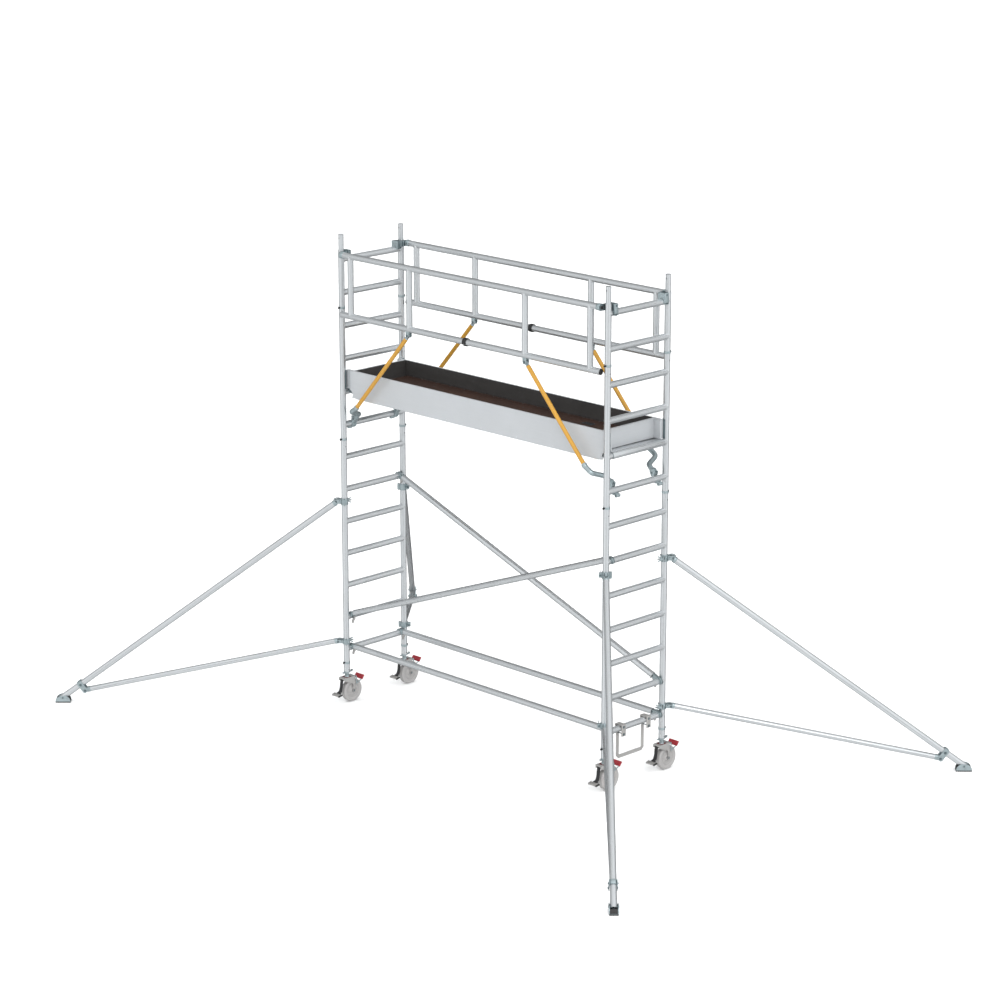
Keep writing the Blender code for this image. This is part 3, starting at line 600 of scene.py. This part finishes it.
# ---- guardrails and struts ----
px, pz = STRUT_PIN
ex, ez = STRUT_END
for word, place in (("front", Matrix.Identity(4)), ("rear", HALF_TURN)):
    y = -RAIL_Y
    p = Piece(place)
    for z in (RAIL_TOP, RAIL_MID):
        p.tube("alu_x", (-RAIL_END + 0.002, y, z), (RAIL_END - 0.002, y, z), R_TUBE - 0.0002, seg=44,
            depth=0.02)
    for x in (-POSTS[1], -POSTS[0], POSTS[0], POSTS[1]):
        p.tube("alu_z", (x, y, RAIL_MID + 0.004), (x, y, RAIL_TOP - 0.004), R_TUBE - 0.0004,
            open_ends=(False, False), seg=40)
        saddle(p, "weld", (x, y, RAIL_TOP), Z, X, R_TUBE, R_TUBE, way=-1)
        saddle(p, "weld", (x, y, RAIL_MID), Z, X, R_TUBE, R_TUBE, way=1)
    for s in (-1, 1):
        p.turned("black", (s * (RAIL_END - 0.008), y, RAIL_MID), (s, 0, 0),
            mm((22, 0), (22.5, 6), (24.5, 6.5), (24.5, 8.5), (20, 9.8)), 32)
        p.lathe("zinc", (s * 1.428, y, RAIL_TOP), (s, 0, 0), mm((25, 0), (26.2, 1), (26.4, 8), (28.6, 12),
            (28.6, 18), (26.8, 21), (26.8, 25), (29.2, 28), (29.2, 34), (27, 38.5), (0, 38.5)), 40)
        # painted highlight and shade: the arm plate is dark zinc and the ribs across it plain zinc, so the
        # light bands are in the colours
        p.slab("zinc_dark", mm((-392, 3866), (-395, 3888), (-386, 3908), (-372, 3913), (-262, 3913),
            (-262, 3856), (-286, 3850), (-310, 3862), (-378, 3860)), "X", s * 1.466, s * 1.4745, 0.0015)
        for v0 in (-0.38, -0.352, -0.324, -0.296):  # ribs across the banded arm
            p.box("zinc", (s * 1.456, s * 1.4672), (v0, v0 + 0.0065), (3.864, 3.9105), 0.0016)
        p.box("black", (s * 1.4742, s * 1.4785), (-0.3895, -0.364), (3.8745, 3.899), 0.0016)
        keep = p.local.copy()
        p.local = Matrix.Scale(s, 4, X)
        rim = arc(0.0268, 166, -34, 26)
        side = mm((1466.5, 3850), (1466.5, 3912.8), (1526, 3912.8), (1540, 3902), (1541.5, 3840),
            (1537.5, 3825))
        flange = side + shifted(reversed(rim), HALF_L, RUNG_T)
        # painted shade: the outer flange is cut in dark zinc, the inner one in plain zinc
        for v0, v1, flange_shade in ((-0.3075, -0.3035, "zinc_dark"), (-0.2655, -0.2615, "zinc")):
            p.slab(flange_shade, flange, "Y", v0, v1, 0.0009)
        # painted shade: the hook web between the flanges is dark zinc
        p.slab("zinc_dark", shifted(hoop(0.031, 0.0266, -30, 170, 26), HALF_L, RUNG_T), "Y", -0.306, -0.263,
            0.0008)
        p.box("zinc_dark", (1.467, 1.533), (-0.306, -0.263), (3.874, 3.908), 0.002)
        p.box("zinc", (1.533, 1.5412), (-0.307, -0.262), (3.834, 3.912), 0.0022)
        p.bolt("zinc_dark", (1.541, -0.2845, 3.896), X, 0.0056, 0.004)
        p.sweep("zinc", mm((1539.2, -306, 3827), (1540.5, -284.5, 3820), (1539.2, -263, 3827)), 0.003,
            seg=8, round_off=2)
        p.local = keep
        for v in (-1, 1):
            ear = [(s * (px + a), pz - 0.001 + b) for a, b in arc(0.017, -30, -150, 6)]
            lug = [(s * (px - 0.021), 3.372), (s * (px + 0.019), 3.372), (s * (px + 0.017), pz - 0.002),
                *ear, (s * (px - 0.018), pz - 0.002)]
            p.slab("zinc", lug, "Y", y + v * 0.0135, y + v * 0.019, 0.0008)
        p.bolt("zinc_dark", (s * px, y - 0.019, pz), (0, -1, 0), 0.0075, 0.005)
        p.bolt("zinc_dark", (s * px, y + 0.019, pz), (0, 1, 0), 0.0075, 0.006)
        p.pin("zinc", (s * px, y - 0.019, pz), Y, 0.0048, 0.038, 14)
    p.cover("guardrail_" + word, "tower")

    p = Piece(place)  # snap clip round the middle rail, open towards one end
    rim = hoop(0.0335, 0.0262, 205, -115, 30)
    p.slab("black", shifted(rim, y, RAIL_MID), "X", -0.017, 0.017, 0.0022)
    for t in (205, -115):
        c = (y + 0.03 * cos(radians(t)), RAIL_MID + 0.03 * sin(radians(t)))
        p.turned("black", (-0.0165, *c), X, mm((3.4, 0), (4.2, 1), (4.2, 32), (3.4, 33)), 12)
    p.cover("rail_clip_" + word, "tower")

    along = Vector((ex - px, 0, ez - pz)).normalized()
    lean = Matrix.Rotation(atan2(-along.z, along.x), 4, "Y")
    for hand, s in (("right", 1), ("left", -1)):
        label = hand if word == "front" else {"left": "right", "right": "left"}[hand]
        p = Piece(place)
        p.local = Matrix.Scale(s, 4, X)
        pin = Vector((px, y, pz))
        inner = -STRUT_IN_Y
        p.tube("yellow", pin + along * 0.036, (ex, y, ez), R_STRUT, seg=32, lip=0.0015,
            open_ends=(False, False))
        p.turned("zinc", pin + along * 0.018, along, mm((8, 0), (9.5, 4), (9.5, 10), (15, 14), (17.2, 19)),
            24)
        eye = arc(0.012, 60, 300, 12) + mm((26, -11), (26, 11))
        turn = Matrix.Translation(pin) @ lean
        p.slab("zinc", eye, "Y", -0.0095, 0.0095, 0.001, move=turn)
        p.turned("zinc", Vector((ex, y, ez)) - along * 0.012, along,
            mm((17.2, 0), (20, 1.2), (22.2, 10), (23.2, 20), (21.8, 30), (19.6, 34)), 28)
        way = [(ex + 0.01, y, ez - 0.0114), (1.352, y, 2.5895), (1.3665, y + 0.004, 2.5778),
            (1.3775, y + 0.022, 2.5672), (1.3995, inner - 0.024, 2.5402), (1.4085, inner - 0.006, 2.5318),
            (1.441, inner, 2.509), (HALF_L - 0.031, inner, RUNG_S + 0.033)]
        p.sweep("zinc", way, R_ARM - 0.0004, seg=24, round_off=2)
        drain = Vector((0.62, 0.72, 0.3)).normalized()
        # painted shade: a near-black disc stands for the inside of the drain hole
        p.pin("seam_and_hole_shade", Vector((1.4075, inner - 0.012, 2.5345)) + drain * (R_ARM - 0.002), drain, 0.0062,
            0.0022, 16)
        cup = arc(0.0345, 139, 290, 24) + shifted(arc(0.016, 232, 394, 18), 0.026, -0.036)
        cup = cup + arc(HOOK_IN, 312, 139, 26)
        p.slab("zinc", shifted(cup, HALF_L, RUNG_S), "Y", inner - 0.02, inner + 0.02, 0.002)
        for v in (-0.0175, 0.0, 0.0175):  # ribs round the cup
            p.sweep("zinc", [(HALF_L + a, inner + v, RUNG_S + b) for a, b in arc(0.0355, 150, 300, 20)],
                0.0026, seg=8)
        p.pin("zinc_dark", (HALF_L + 0.0265, inner - 0.0225, RUNG_S - 0.036), Y, 0.0062, 0.045, 16)
        body = mm((-54, 20), (-67, 50), (-58, 76), (-35, 74), (-15, 52), (-13, 30), (-24.5, 11.5), (-35, 5))
        p.slab("zinc", shifted(body, HALF_L, RUNG_S), "Y", inner - 0.0215, inner + 0.0215, 0.0045)
        for v in (-0.017, -0.0057, 0.0057, 0.017):
            p.sweep("zinc_dark", [(HALF_L + a, inner + v, RUNG_S + b) for a,
                b in mm((-56, 75.5), (-36, 73.5), (-15.5, 51.5), (-13.5, 30))], 0.0022, seg=8)
        catch = mm((-40, 60), (-16, 59), (-2, 64), (4, 60), (-1, 40), (-6, 38.5), (-7, 52), (-26, 44))
        p.slab("zinc_dark", shifted(catch, HALF_L, RUNG_S), "Y", inner - 0.0045, inner + 0.0045, 0.0012)
        p.bolt("zinc_dark", (HALF_L - 0.04, inner - 0.0215, RUNG_S + 0.042), (0, -1, 0), 0.005, 0.0035)
        p.bolt("zinc_dark", (HALF_L - 0.04, inner + 0.0215, RUNG_S + 0.042), (0, 1, 0), 0.005, 0.0035)
        strut = "strut_%s_%s" % (word, label)
        p.cover(strut, strut)

# ---- step stirrup ----
p = Piece()
loop = mm((1468.5, -145, 500), (1468.5, -145, 360), (1468.5, -145, 240), (1468.5, -132, 227),
    (1468.5, 132, 227), (1468.5, 145, 240), (1468.5, 145, 360), (1468.5, 145, 500))
p.sweep("fork", loop, 0.01, flat=(0.028, 0.0116, X))
for y in (-0.145, 0.145):
    p.box("fork", (1.4628, 1.5372), (y - 0.024, y + 0.024), (0.507, 0.513), 0.0016)
    p.box("fork", (1.5317, 1.5373), (y - 0.024, y + 0.024), (0.4155, 0.5125), 0.0016)
    p.box("fork", (1.4628, 1.4685), (y - 0.024, y + 0.024), (0.462, 0.5125), 0.0016)
    # painted shade: a near-black slot in the tread stands for the inside of the opening
    p.box("seam_and_hole_shade", (1.47, 1.53), (y - 0.02, y + 0.02), (0.5052, 0.5072), 0.0004)
    for v in (-1, 1):
        p.box("fork", (1.464, 1.536), (y + v * 0.0215, y + v * 0.024), (0.5055, 0.5105), 0.0008)
    for z in (0.432, 0.492):
        p.bolt("zinc_dark", (1.5372, y, z), X, 0.0075, 0.005)
    p.bolt("zinc_dark", (1.4628, y, 0.486), -X, 0.006, 0.004)
    p.pin("zinc_dark", (1.47, y, 0.4345), X, 0.0045, 0.064, 14)
p.cover("step_stirrup", "step_stirrup")

# ---- castors ----
cheek = mm((-62, 226.2), (-62, 207), (-58, 202), (24, 169), (37, 161), (42.5, 150), (40.5, 102), (41, 94),
    (44, 88.5), (50, 85), (56, 88.5), (59, 94), (59.5, 102), (58, 150), (60, 165), (62.5, 180), (62, 226.2))
shin = mm((-50, 220), (-62, 220), (-66, 184), (-70, 150), (-80, 118), (-90, 108), (-106, 98), (-106, 87),
    (-88, 88), (-78, 96), (-72, 110), (-63, 150), (-59, 184))
tyre = mm((9.5, 0), (9.5, -26.8), (24, -26.8), (26.2, -25.5), (29, -20), (33, -18.8), (60, -18.8),
    (64, -20), (68, -22.8), (86, -23.8), (92, -23.6), (96.6, -21.5), (99.2, -17), (100, -10), (100, 0))
tyre = tyre + [(r, -h) for r, h in reversed(tyre[:-1])]
for word, (sx, sy) in CORNERS.items():
    at = Matrix.Translation((sx * HALF_L, sy * HALF_W, 0.0))
    p = Piece(at)
    p.turned("zinc", (0, 0, 0.2504), Z, mm((16, 0), (16.6, 1), (16.6, 16), (26.2, 16.2), (27, 17.2),
        (27, 22.8), (26, 24), (21.4, 24.1), (21.4, 158), (20, 159.2)), 40)
    bar = mm((0, -46, 267.2), (0, 40, 267.2), (0, 52, 269), (0, 60, 276))
    p.sweep("zinc", bar, 0.01, flat=(0.0225, 0.0056, Z))
    p.turned("zinc_dark", (-0.0105, 0.059, 0.2762), X, mm((3.4, 0), (3.8, 1), (3.8, 20), (3.4, 21)), 14)
    p.cover("castor_stem_" + word, "tower")

    p = Piece(at)
    p.box("fork", (-0.0352, 0.0352), (-0.0622, 0.06), (0.2152, 0.2265), 0.0035, segments=3)
    p.turned("zinc", (0, 0, 0.2225), Z, mm((21.5, 0), (21.5, 9), (19.5, 12), (18.6, 13), (18.6, 26.5),
        (17.6, 27.4)), 36)
    for s in (-1, 1):
        p.slab("fork", cheek, "X", s * 0.029, s * 0.035, 0.0016)
        p.slab("fork", [(TRAIL + 0.0112 * cos(a), WHEEL_R + 0.0158 * sin(a))
            for a in [2 * pi * k / 28 for k in range(28)]], "X", s * 0.0345, s * 0.0366, 0.0006)
        p.slab("hub", [(TRAIL + 0.0096 * cos(a), WHEEL_R + 0.0142 * sin(a))
            for a in [2 * pi * k / 28 for k in range(28)]], "X", s * 0.0362, s * 0.0378, 0.0005)
        p.bolt("zinc_dark", (s * 0.0376, TRAIL, WHEEL_R), (s, 0, 0), 0.0068, 0.0045, washer=False)
        p.rivet("zinc", (s * 0.035, -0.046, 0.212), (s, 0, 0), 0.0045)
        p.rivet("zinc", (s * 0.035, 0.046, 0.208), (s, 0, 0), 0.0045)
        p.sweep("fork", [(s * 0.0352, -0.06, 0.203), (s * 0.0352, 0.024, 0.1702),
            (s * 0.0352, 0.038, 0.162)], 0.0018, seg=8)
        p.sweep("fork", [(s * 0.0352, TRAIL, 0.15), (s * 0.0352, TRAIL, 0.119)], 0.0022, seg=8)
        p.box("fork", (s * 0.0315, s * 0.035), (-0.062, 0.06), (0.226, 0.2288), 0.001)
        p.sweep("black", [(s * 0.015, -0.056, 0.22), (s * 0.015, -0.064, 0.184), (s * 0.015, -0.067, 0.15),
            (s * 0.015, -0.0765, 0.114), (s * 0.015, -0.1, 0.095)], 0.0022, seg=8)
    p.box("fork", (-0.035, 0.035), (-0.062, -0.0585), (0.226, 0.2288), 0.001)
    p.box("fork", (-0.035, 0.035), (0.0565, 0.06), (0.226, 0.2288), 0.001)
    p.pin("zinc_dark", (-0.033, TRAIL, WHEEL_R), X, 0.0078, 0.066, 24)
    for s in (-1, 1):  # insert round the neck, in two halves
        half_ring = [(-0.029, 0.0), (-0.029, s * 0.024), (-0.023, s * 0.029), (0.023, s * 0.029),
            (0.029, s * 0.024), (0.029, 0.0)]
        half_ring += [(0.0219 * cos(a), s * 0.0219 * sin(a)) for a in [pi * k / 14 for k in range(15)]]
        p.slab("red_dark", half_ring, "Z", 0.2258, 0.2288, 0.0006)
    p.slab("black", shin, "X", -0.015, 0.015, 0.0012)
    tread = Matrix.Rotation(radians(12), 4, "X")
    p.box("fork", (-0.0445, 0.047), (-0.136, -0.096), (0.083, 0.0915), 0.0022, tilt=tread)
    p.box("rubber", (0.033, 0.0476), (-0.1368, -0.0952), (0.0822, 0.0925), 0.0026, tilt=tread)
    p.box("fork", (-0.045, -0.041), (-0.136, -0.096), (0.08, 0.096), 0.0012, tilt=tread)
    for k in range(3):
        p.box("fork", (-0.038, 0.029), (-0.132 + k * 0.0115, -0.128 + k * 0.0115),
            (0.0895 + k * 0.0024, 0.0925 + k * 0.0024), 0.0008, tilt=tread)
    for s in (-1, 1):
        p.sweep("hub", [(s * 0.01, -0.08, 0.112), (s * 0.024, -0.09, 0.099), (s * 0.033, -0.102, 0.09)],
            0.0028, seg=8, round_off=1)
    p.cover("castor_fork_" + word, "castor_swivel_" + word)

    p = Piece(at)
    p.lathe("nylon", (0, TRAIL, WHEEL_R), X, tyre, 64)
    for s in (-1, 1):
        for r, thick in ((0.0415, 0.0014), (0.052, 0.0014)):  # rings turned in the web of the wheel
            p.lathe("nylon", (s * 0.0184, TRAIL, WHEEL_R), (s, 0, 0),
                [(r - 0.0022, 0), (r - 0.0016, thick), (r + 0.0016, thick), (r + 0.0022, 0),
                (r - 0.0022, 0)], 56)
        # painted shade: a thin dark ring laid on the step of the web, where the rim steps out
        p.lathe("hub", (s * 0.0186, TRAIL, WHEEL_R), (s, 0, 0), mm((60, 0), (60.2, 0.7), (63.4, 0.7),
            (64, 0), (60, 0)), 56)
        p.lathe("hub", (s * 0.0262, TRAIL, WHEEL_R), (s, 0, 0), mm((9.6, 0), (19.6, 0), (20, 0.6), (19, 1),
            (10, 1), (9.6, 0)), 40)
    p.cover("castor_wheel_" + word, "castor_wheel_" + word)

    hy, hz = PEDAL
    p = Piece(at)
    p.turned("zinc", (-0.04, hy, hz), X, mm((5.2, 0), (5.8, 1), (5.8, 79), (5.2, 80)), 20)
    for s in (-1, 1):
        strap = mm((64, 219), (65, 227), (75, 227), (76.8, 218), (77.5, 210), (80, 166), (134, 190),
            (138, 182), (79, 153), (71.5, 157), (69, 205))
        p.slab("zinc", strap, "X", s * 0.0356, s * 0.0396, 0.001)
    tip = Matrix.Rotation(radians(-36), 4, "X")
    p.box("red", (-0.049, 0.049), (0.1345, 0.1475), (0.18, 0.222), 0.0036, tilt=tip, segments=3)
    spot = Matrix.Translation((0, 0.141, 0.201)) @ tip
    keep = p.local.copy()
    p.local = keep @ spot
    for z in (-0.0115, 0.0, 0.0115):  # grip ribs across the pad
        p.box("red", (-0.041, 0.041), (-0.0076, -0.006), (z - 0.0018, z + 0.0018), 0.0006)
    p.local = keep
    p.cover("castor_pedal_" + word, "castor_pedal_" + word)

# ---- outriggers ----
tilt = atan(LEG_FALL)
along = Vector((cos(tilt), 0, -sin(tilt)))
up = Vector((sin(tilt), 0, cos(tilt)))
seat = Vector((BRACKET_U, 0, LEG_Z - LEG_FALL * BRACKET_U))
foot_z = LEG_Z - LEG_FALL * FOOT_U
square = Matrix(((along.x, 0, up.x, seat.x), (0, 1, 0, 0), (along.z, 0, up.z, seat.z), (0, 0, 0, 1)))


def coupler(p, z, half, head):
    """Half coupler: split collar, hinge block, ears with a winged bolt, neck and its locking lever."""
    outer = 0.0305
    for start, stop in ((-84, 84), (96, 264)):
        p.slab("zinc", hoop(outer, R_TUBE + 0.0004, start, stop, 24), "Z", z - half, z + half, 0.0012)
    for h in (-0.86, 0.86):  # rolled rims of the collar
        band = arc(outer + 0.0014, 90, 446, 44)[:-1]
        p.sweep("zinc", [(a, b, z + h * half) for a, b in band], 0.002, seg=8, closed=True)
    p.slab("zinc", hoop(outer + 0.0012, outer - 0.001, 18, 162, 24), "Z", z - 0.008, z + 0.008, 0.0008)
    # hinge side
    for h0, h1 in ((-0.88, -0.34), (-0.28, 0.28), (0.34, 0.88)):
        p.lathe("zinc", (0, 0.0392, z + h0 * half), Z, [(0, 0), (0.0082, 0), (0.009, 0.0008),
            (0.009, (h1 - h0) * half - 0.0008), (0.0082, (h1 - h0) * half), (0, (h1 - h0) * half)], 20)
    p.box("zinc", (-0.0085, 0.0085), (0.0285, 0.04), (z - half * 0.86, z + half * 0.86), 0.0016)
    p.turned("zinc_dark", (0, 0.0392, z - half - 0.002), Z, [(0.0046, 0), (0.0056, 0.0014), (0.0056, 0.003),
        (0.004, 0.0032), (0.004, 2 * half), (0.0056, 2 * half + 0.0006), (0.0056, 2 * half + 0.003),
        (0.0046, 2 * half + 0.004)], 16)
    # closing side
    for a, b in ((-0.0122, -0.0045), (0.0045, 0.0122)):
        p.box("zinc", (a, b), (-0.056, -0.0285), (z - half * 0.7, z + half * 0.7), 0.0018)
    p.turned("zinc_dark", (-0.056, -0.043, z), X, mm((4.6, 0), (5, 1), (5, 66)), 14)
    p.turned("zinc", (-0.0122, -0.043, z), -X, mm((11, 0), (11.2, 3), (8.4, 8), (7.2, 20), (6, 22.5)), 20)
    p.turned("zinc_dark", (0.0122, -0.043, z), X, mm((8.8, 0), (8.8, 5), (7, 6.4)), 6)
    for s in (-1, 1):  # wings of the nut
        wing = [(-0.02, -0.043, z + s * 0.0045), (-0.03, -0.043, z + s * 0.0095),
            (-0.04, -0.043, z + s * 0.015), (-0.052, -0.043, z + s * 0.0205)]
        p.sweep("zinc", wing, 0.004, flat=(0.0062, 0.01, Z), round_off=1)
    # neck, its side plates and bolt, and the lever curved over it
    p.box("zinc_dark", (0.028, 0.062), (-0.013, 0.013), (z - head * 0.86, z + head * 0.86), 0.002)
    for v in (-1, 1):
        plate = [(0.029, z - head), (0.029, z + head), (0.062, z + head), (0.086, z + head - 0.007),
            (0.096, z - 0.005), (0.09, z - head - 0.003), (0.064, z - head)]
        p.slab("zinc", plate, "Y", v * 0.013, v * 0.018, 0.0014)
        p.bolt("zinc_dark", (0.073, v * 0.018, z - 0.002), (0, v, 0), 0.0072, 0.0045)
        p.rivet("zinc_dark", (0.043, v * 0.018, z + head * 0.45), (0, v, 0), 0.0045)
    lever = [(0.032, 0, z + head + 0.002), (0.044, 0, z + head + 0.0085), (0.062, 0, z + head + 0.01),
        (0.078, 0, z + head + 0.006), (0.093, 0, z + head - 0.003)]
    p.sweep("zinc", lever, 0.01, flat=(0.02, 0.0042, Z), round_off=2)
    p.pin("zinc_dark", (0.034, -0.012, z + head + 0.001), Y, 0.0036, 0.024, 12)


for word, (sx, sy) in CORNERS.items():
    at = (Matrix.Translation((sx * HALF_L, sy * HALF_W, 0.0)) @ Matrix.Rotation(atan2(sy, sx), 4, "Z"))
    body = "outrigger_" + word
    p = Piece(at)
    p.tube("alu_leg", (0.076, 0, LEG_Z - LEG_FALL * 0.076), (LEG_REACH, 0, LEG_Z - LEG_FALL * LEG_REACH),
        R_TUBE - 0.0002, seg=44, open_ends=(False, True), lip=0.002, depth=0.03)
    head = Vector((0.0745, 0, LEG_Z - LEG_FALL * 0.0745))
    p.turned("zinc", head - along * 0.006, along, mm((20, 0), (23.5, 3), (26.2, 7), (26.2, 26),
        (25.2, 27.5)), 40)
    coupler(p, CLAMP_TOP, 0.0278, 0.02)
    p.cover("outrigger_leg_" + word, body)

    p = Piece(at)
    way = Vector((1, 0, -STAY_FALL)).normalized()
    p.tube("alu_stay", (0.08, 0, STAY_Z - STAY_FALL * 0.08), (STAY_REACH, 0,
        STAY_Z - STAY_FALL * STAY_REACH), R_STAY - 0.0002, seg=40, open_ends=(False, True), lip=0.002,
        depth=0.02)
    head = Vector((0.078, 0, STAY_Z - STAY_FALL * 0.078))
    p.turned("zinc", head - way * 0.004, way, mm((18, 0), (21.5, 3), (23.4, 6), (23.4, 24), (22.4, 25.5)),
        36)
    coupler(p, CLAMP_LOW, 0.0238, 0.0165)
    tail = Vector((STAY_REACH, 0, STAY_Z - STAY_FALL * STAY_REACH))
    p.lathe("zinc", tail - way * 0.062, way, mm((22.2, 0), (23.3, 1), (23.3, 60), (22.3, 61.2), (20, 61.2),
        (20, 50), (0, 50)), 36)
    p.cover("outrigger_stay_" + word, body)

    p = Piece(at)
    p.local = square
    for v in (-1, 1):
        ear = mm((-23, 20), (-16, 31), (16, 31), (23, 20), (23, -68), (14, -81), (-14, -81), (-23, -68))
        p.slab("zinc", ear, "Y", v * 0.0268, v * 0.0322, 0.0014)
        p.bolt("zinc_dark", (0, v * 0.0322, 0.0), (0, v, 0), 0.008, 0.0055)
        p.bolt("zinc_dark", (0, v * 0.0322, -0.062), (0, v, 0), 0.008, 0.0055)
    strap = mm((-29.5, -4), (-29.5, 10), (-26.5, 20), (-19, 28.5), (-10, 32.5), (0, 33))
    strap = strap + [(-a, b) for a, b in reversed(strap[:-1])]
    inner_line = [(a * 0.885, b * 0.86 if b > 0 else b) for a, b in reversed(strap)]
    p.slab("zinc", strap + inner_line, "X", -0.02, 0.02, 0.0012)
    p.cover("outrigger_bracket_" + word, body)

    p = Piece(at)
    moon = [(0.063 * cos(a), 0.0105 + 0.052 * sin(a) ** 0.8) for a in [radians(d)
        for d in range(0, 181, 9)]]
    for v in (-1, 1):
        p.slab("zinc", shifted(moon, FOOT_U, 0), "Y", v * 0.0292, v * 0.035, 0.0014)
        p.bolt("zinc_dark", (FOOT_U, v * 0.035, foot_z), (0, v, 0), 0.008, 0.005, washer=False)
        p.lathe("zinc", (FOOT_U, v * 0.0345, foot_z), (0, v, 0), mm((8.5, 0), (13.5, 0), (13, 1.6), (9, 2),
            (8.5, 0)), 24)
        rim = [(FOOT_U + a * 0.965, v * 0.035, b - 0.0015) for a, b in moon[1:-1]]
        p.sweep("zinc", rim, 0.0016, seg=8)
    p.box("zinc", (FOOT_U - 0.0628, FOOT_U + 0.0628), (-0.0349, 0.0349), (0.0096, 0.0124), 0.0008)
    for s in (-1, 1):  # rubber buffers between the side plates
        lump = [(FOOT_U + s * 0.0605, 0.012), (FOOT_U + s * 0.0595, 0.03), (FOOT_U + s * 0.05, 0.043),
            (FOOT_U + s * 0.0425, 0.04), (FOOT_U + s * 0.048, 0.012)]
        p.slab("rubber", lump, "Y", -0.0288, 0.0288, 0.001)
    p.pin("zinc_dark", (FOOT_U, -0.0345, foot_z), Y, 0.006, 0.069, 20)
    for k in range(8):  # treads of the sole
        u = FOOT_U - 0.0585 + k * 0.01671
        tooth = [(u - 0.0062, 0.0098), (u - 0.004, 0.0), (u + 0.004, 0.0), (u + 0.0062, 0.0098)]
        p.slab("rubber", tooth, "Y", -0.0345, 0.0345, 0.0006)
    p.box("rubber", (FOOT_U - 0.064, FOOT_U + 0.064), (-0.0352, 0.0352), (0.0062, 0.0104), 0.0012)
    p.cover("outrigger_foot_" + word, "outrigger_foot_" + word)

# ---- floor, light and camera ----
floor_mesh = bpy.data.meshes.new("studio_floor")
bm = bmesh.new()
bmesh.ops.create_grid(bm, x_segments=8, y_segments=8, size=240.0)
bm.to_mesh(floor_mesh)
bm.free()
floor = bpy.data.objects.new("studio_floor", floor_mesh)
floor.location = (0, 0, -0.001)
floor_mesh.materials.append(material("pale_floor", (0.93, 0.93, 0.93), rough=(0.75, 0.85), vary=0.006,
    size=1.5, bump=0.005))
link(floor)

floor.visible_glossy = False

world = bpy.data.worlds.new("studio")
world.use_nodes = True
sky = world.node_tree
back = sky.nodes["Background"]
coord = add_node(sky, "TexCoord", "Generated", {})
# direction, cosines where the lobe starts and is full, and the brightness it adds
LOBES = (((0.7, -0.7, 0.12), -0.45, 0.55, 0.66), ((0, 0, 1), 0.35, 0.95, 0.25),
    ((0.8, 0.6, 0.25), 0.35, 0.9, 0.32), ((0, 0, -1), 0.45, 0.95, 0.25),
    ((-0.68, -0.68, -0.25), 0.3, 0.9, 0.34))
total = 0.12
for toward, start, full, amount in LOBES:
    facing = add_node(sky, "VectorMath", "Value", {0: coord, 1: Vector(toward).normalized()},
        operation="DOT_PRODUCT")
    lobe = add_node(sky, "MapRange", "Result", {"Value": facing, "From Min": start, "From Max": full,
        "To Max": amount}, interpolation_type="SMOOTHSTEP")
    total = add_node(sky, "Math", 0, {0: total, 1: lobe}, operation="ADD")
sky.links.new(total, back.inputs["Strength"])
back.inputs["Color"].default_value = (0.97, 0.99, 1.0, 1.0)
bpy.context.scene.world = world

sun = bpy.data.lights.new("overhead", "SUN")
sun.energy = 2.9
sun.angle = radians(120)
lamp = bpy.data.objects.new("overhead", sun)
lamp.rotation_euler = (radians(12), radians(10), 0)
lamp.visible_glossy = False
link(lamp)
panel = bpy.data.lights.new("key", "AREA")
panel.shape = "RECTANGLE"
panel.size, panel.size_y = 7.0, 7.0
panel.energy = 700.0
key = bpy.data.objects.new("key", panel)
key.location = (14.0, -8.0, 12.0)
key.rotation_euler = (Vector((0, 0, 1.5)) - key.location).to_track_quat("-Z", "Y").to_euler()
link(key)

AZIMUTH, DROP = -0.788538, 0.270087
lens = bpy.data.cameras.new("camera")
lens.sensor_width = 36.0
lens.lens = 112.0676
lens.clip_end = 300.0
camera = bpy.data.objects.new("camera", lens)
camera.location = (17.264233, -17.148803, 8.754444)
camera.rotation_euler = (pi / 2 - DROP, 0.0, -AZIMUTH)
link(camera)
bpy.context.scene.camera = camera
bpy.context.scene.view_settings.view_transform = "Standard"
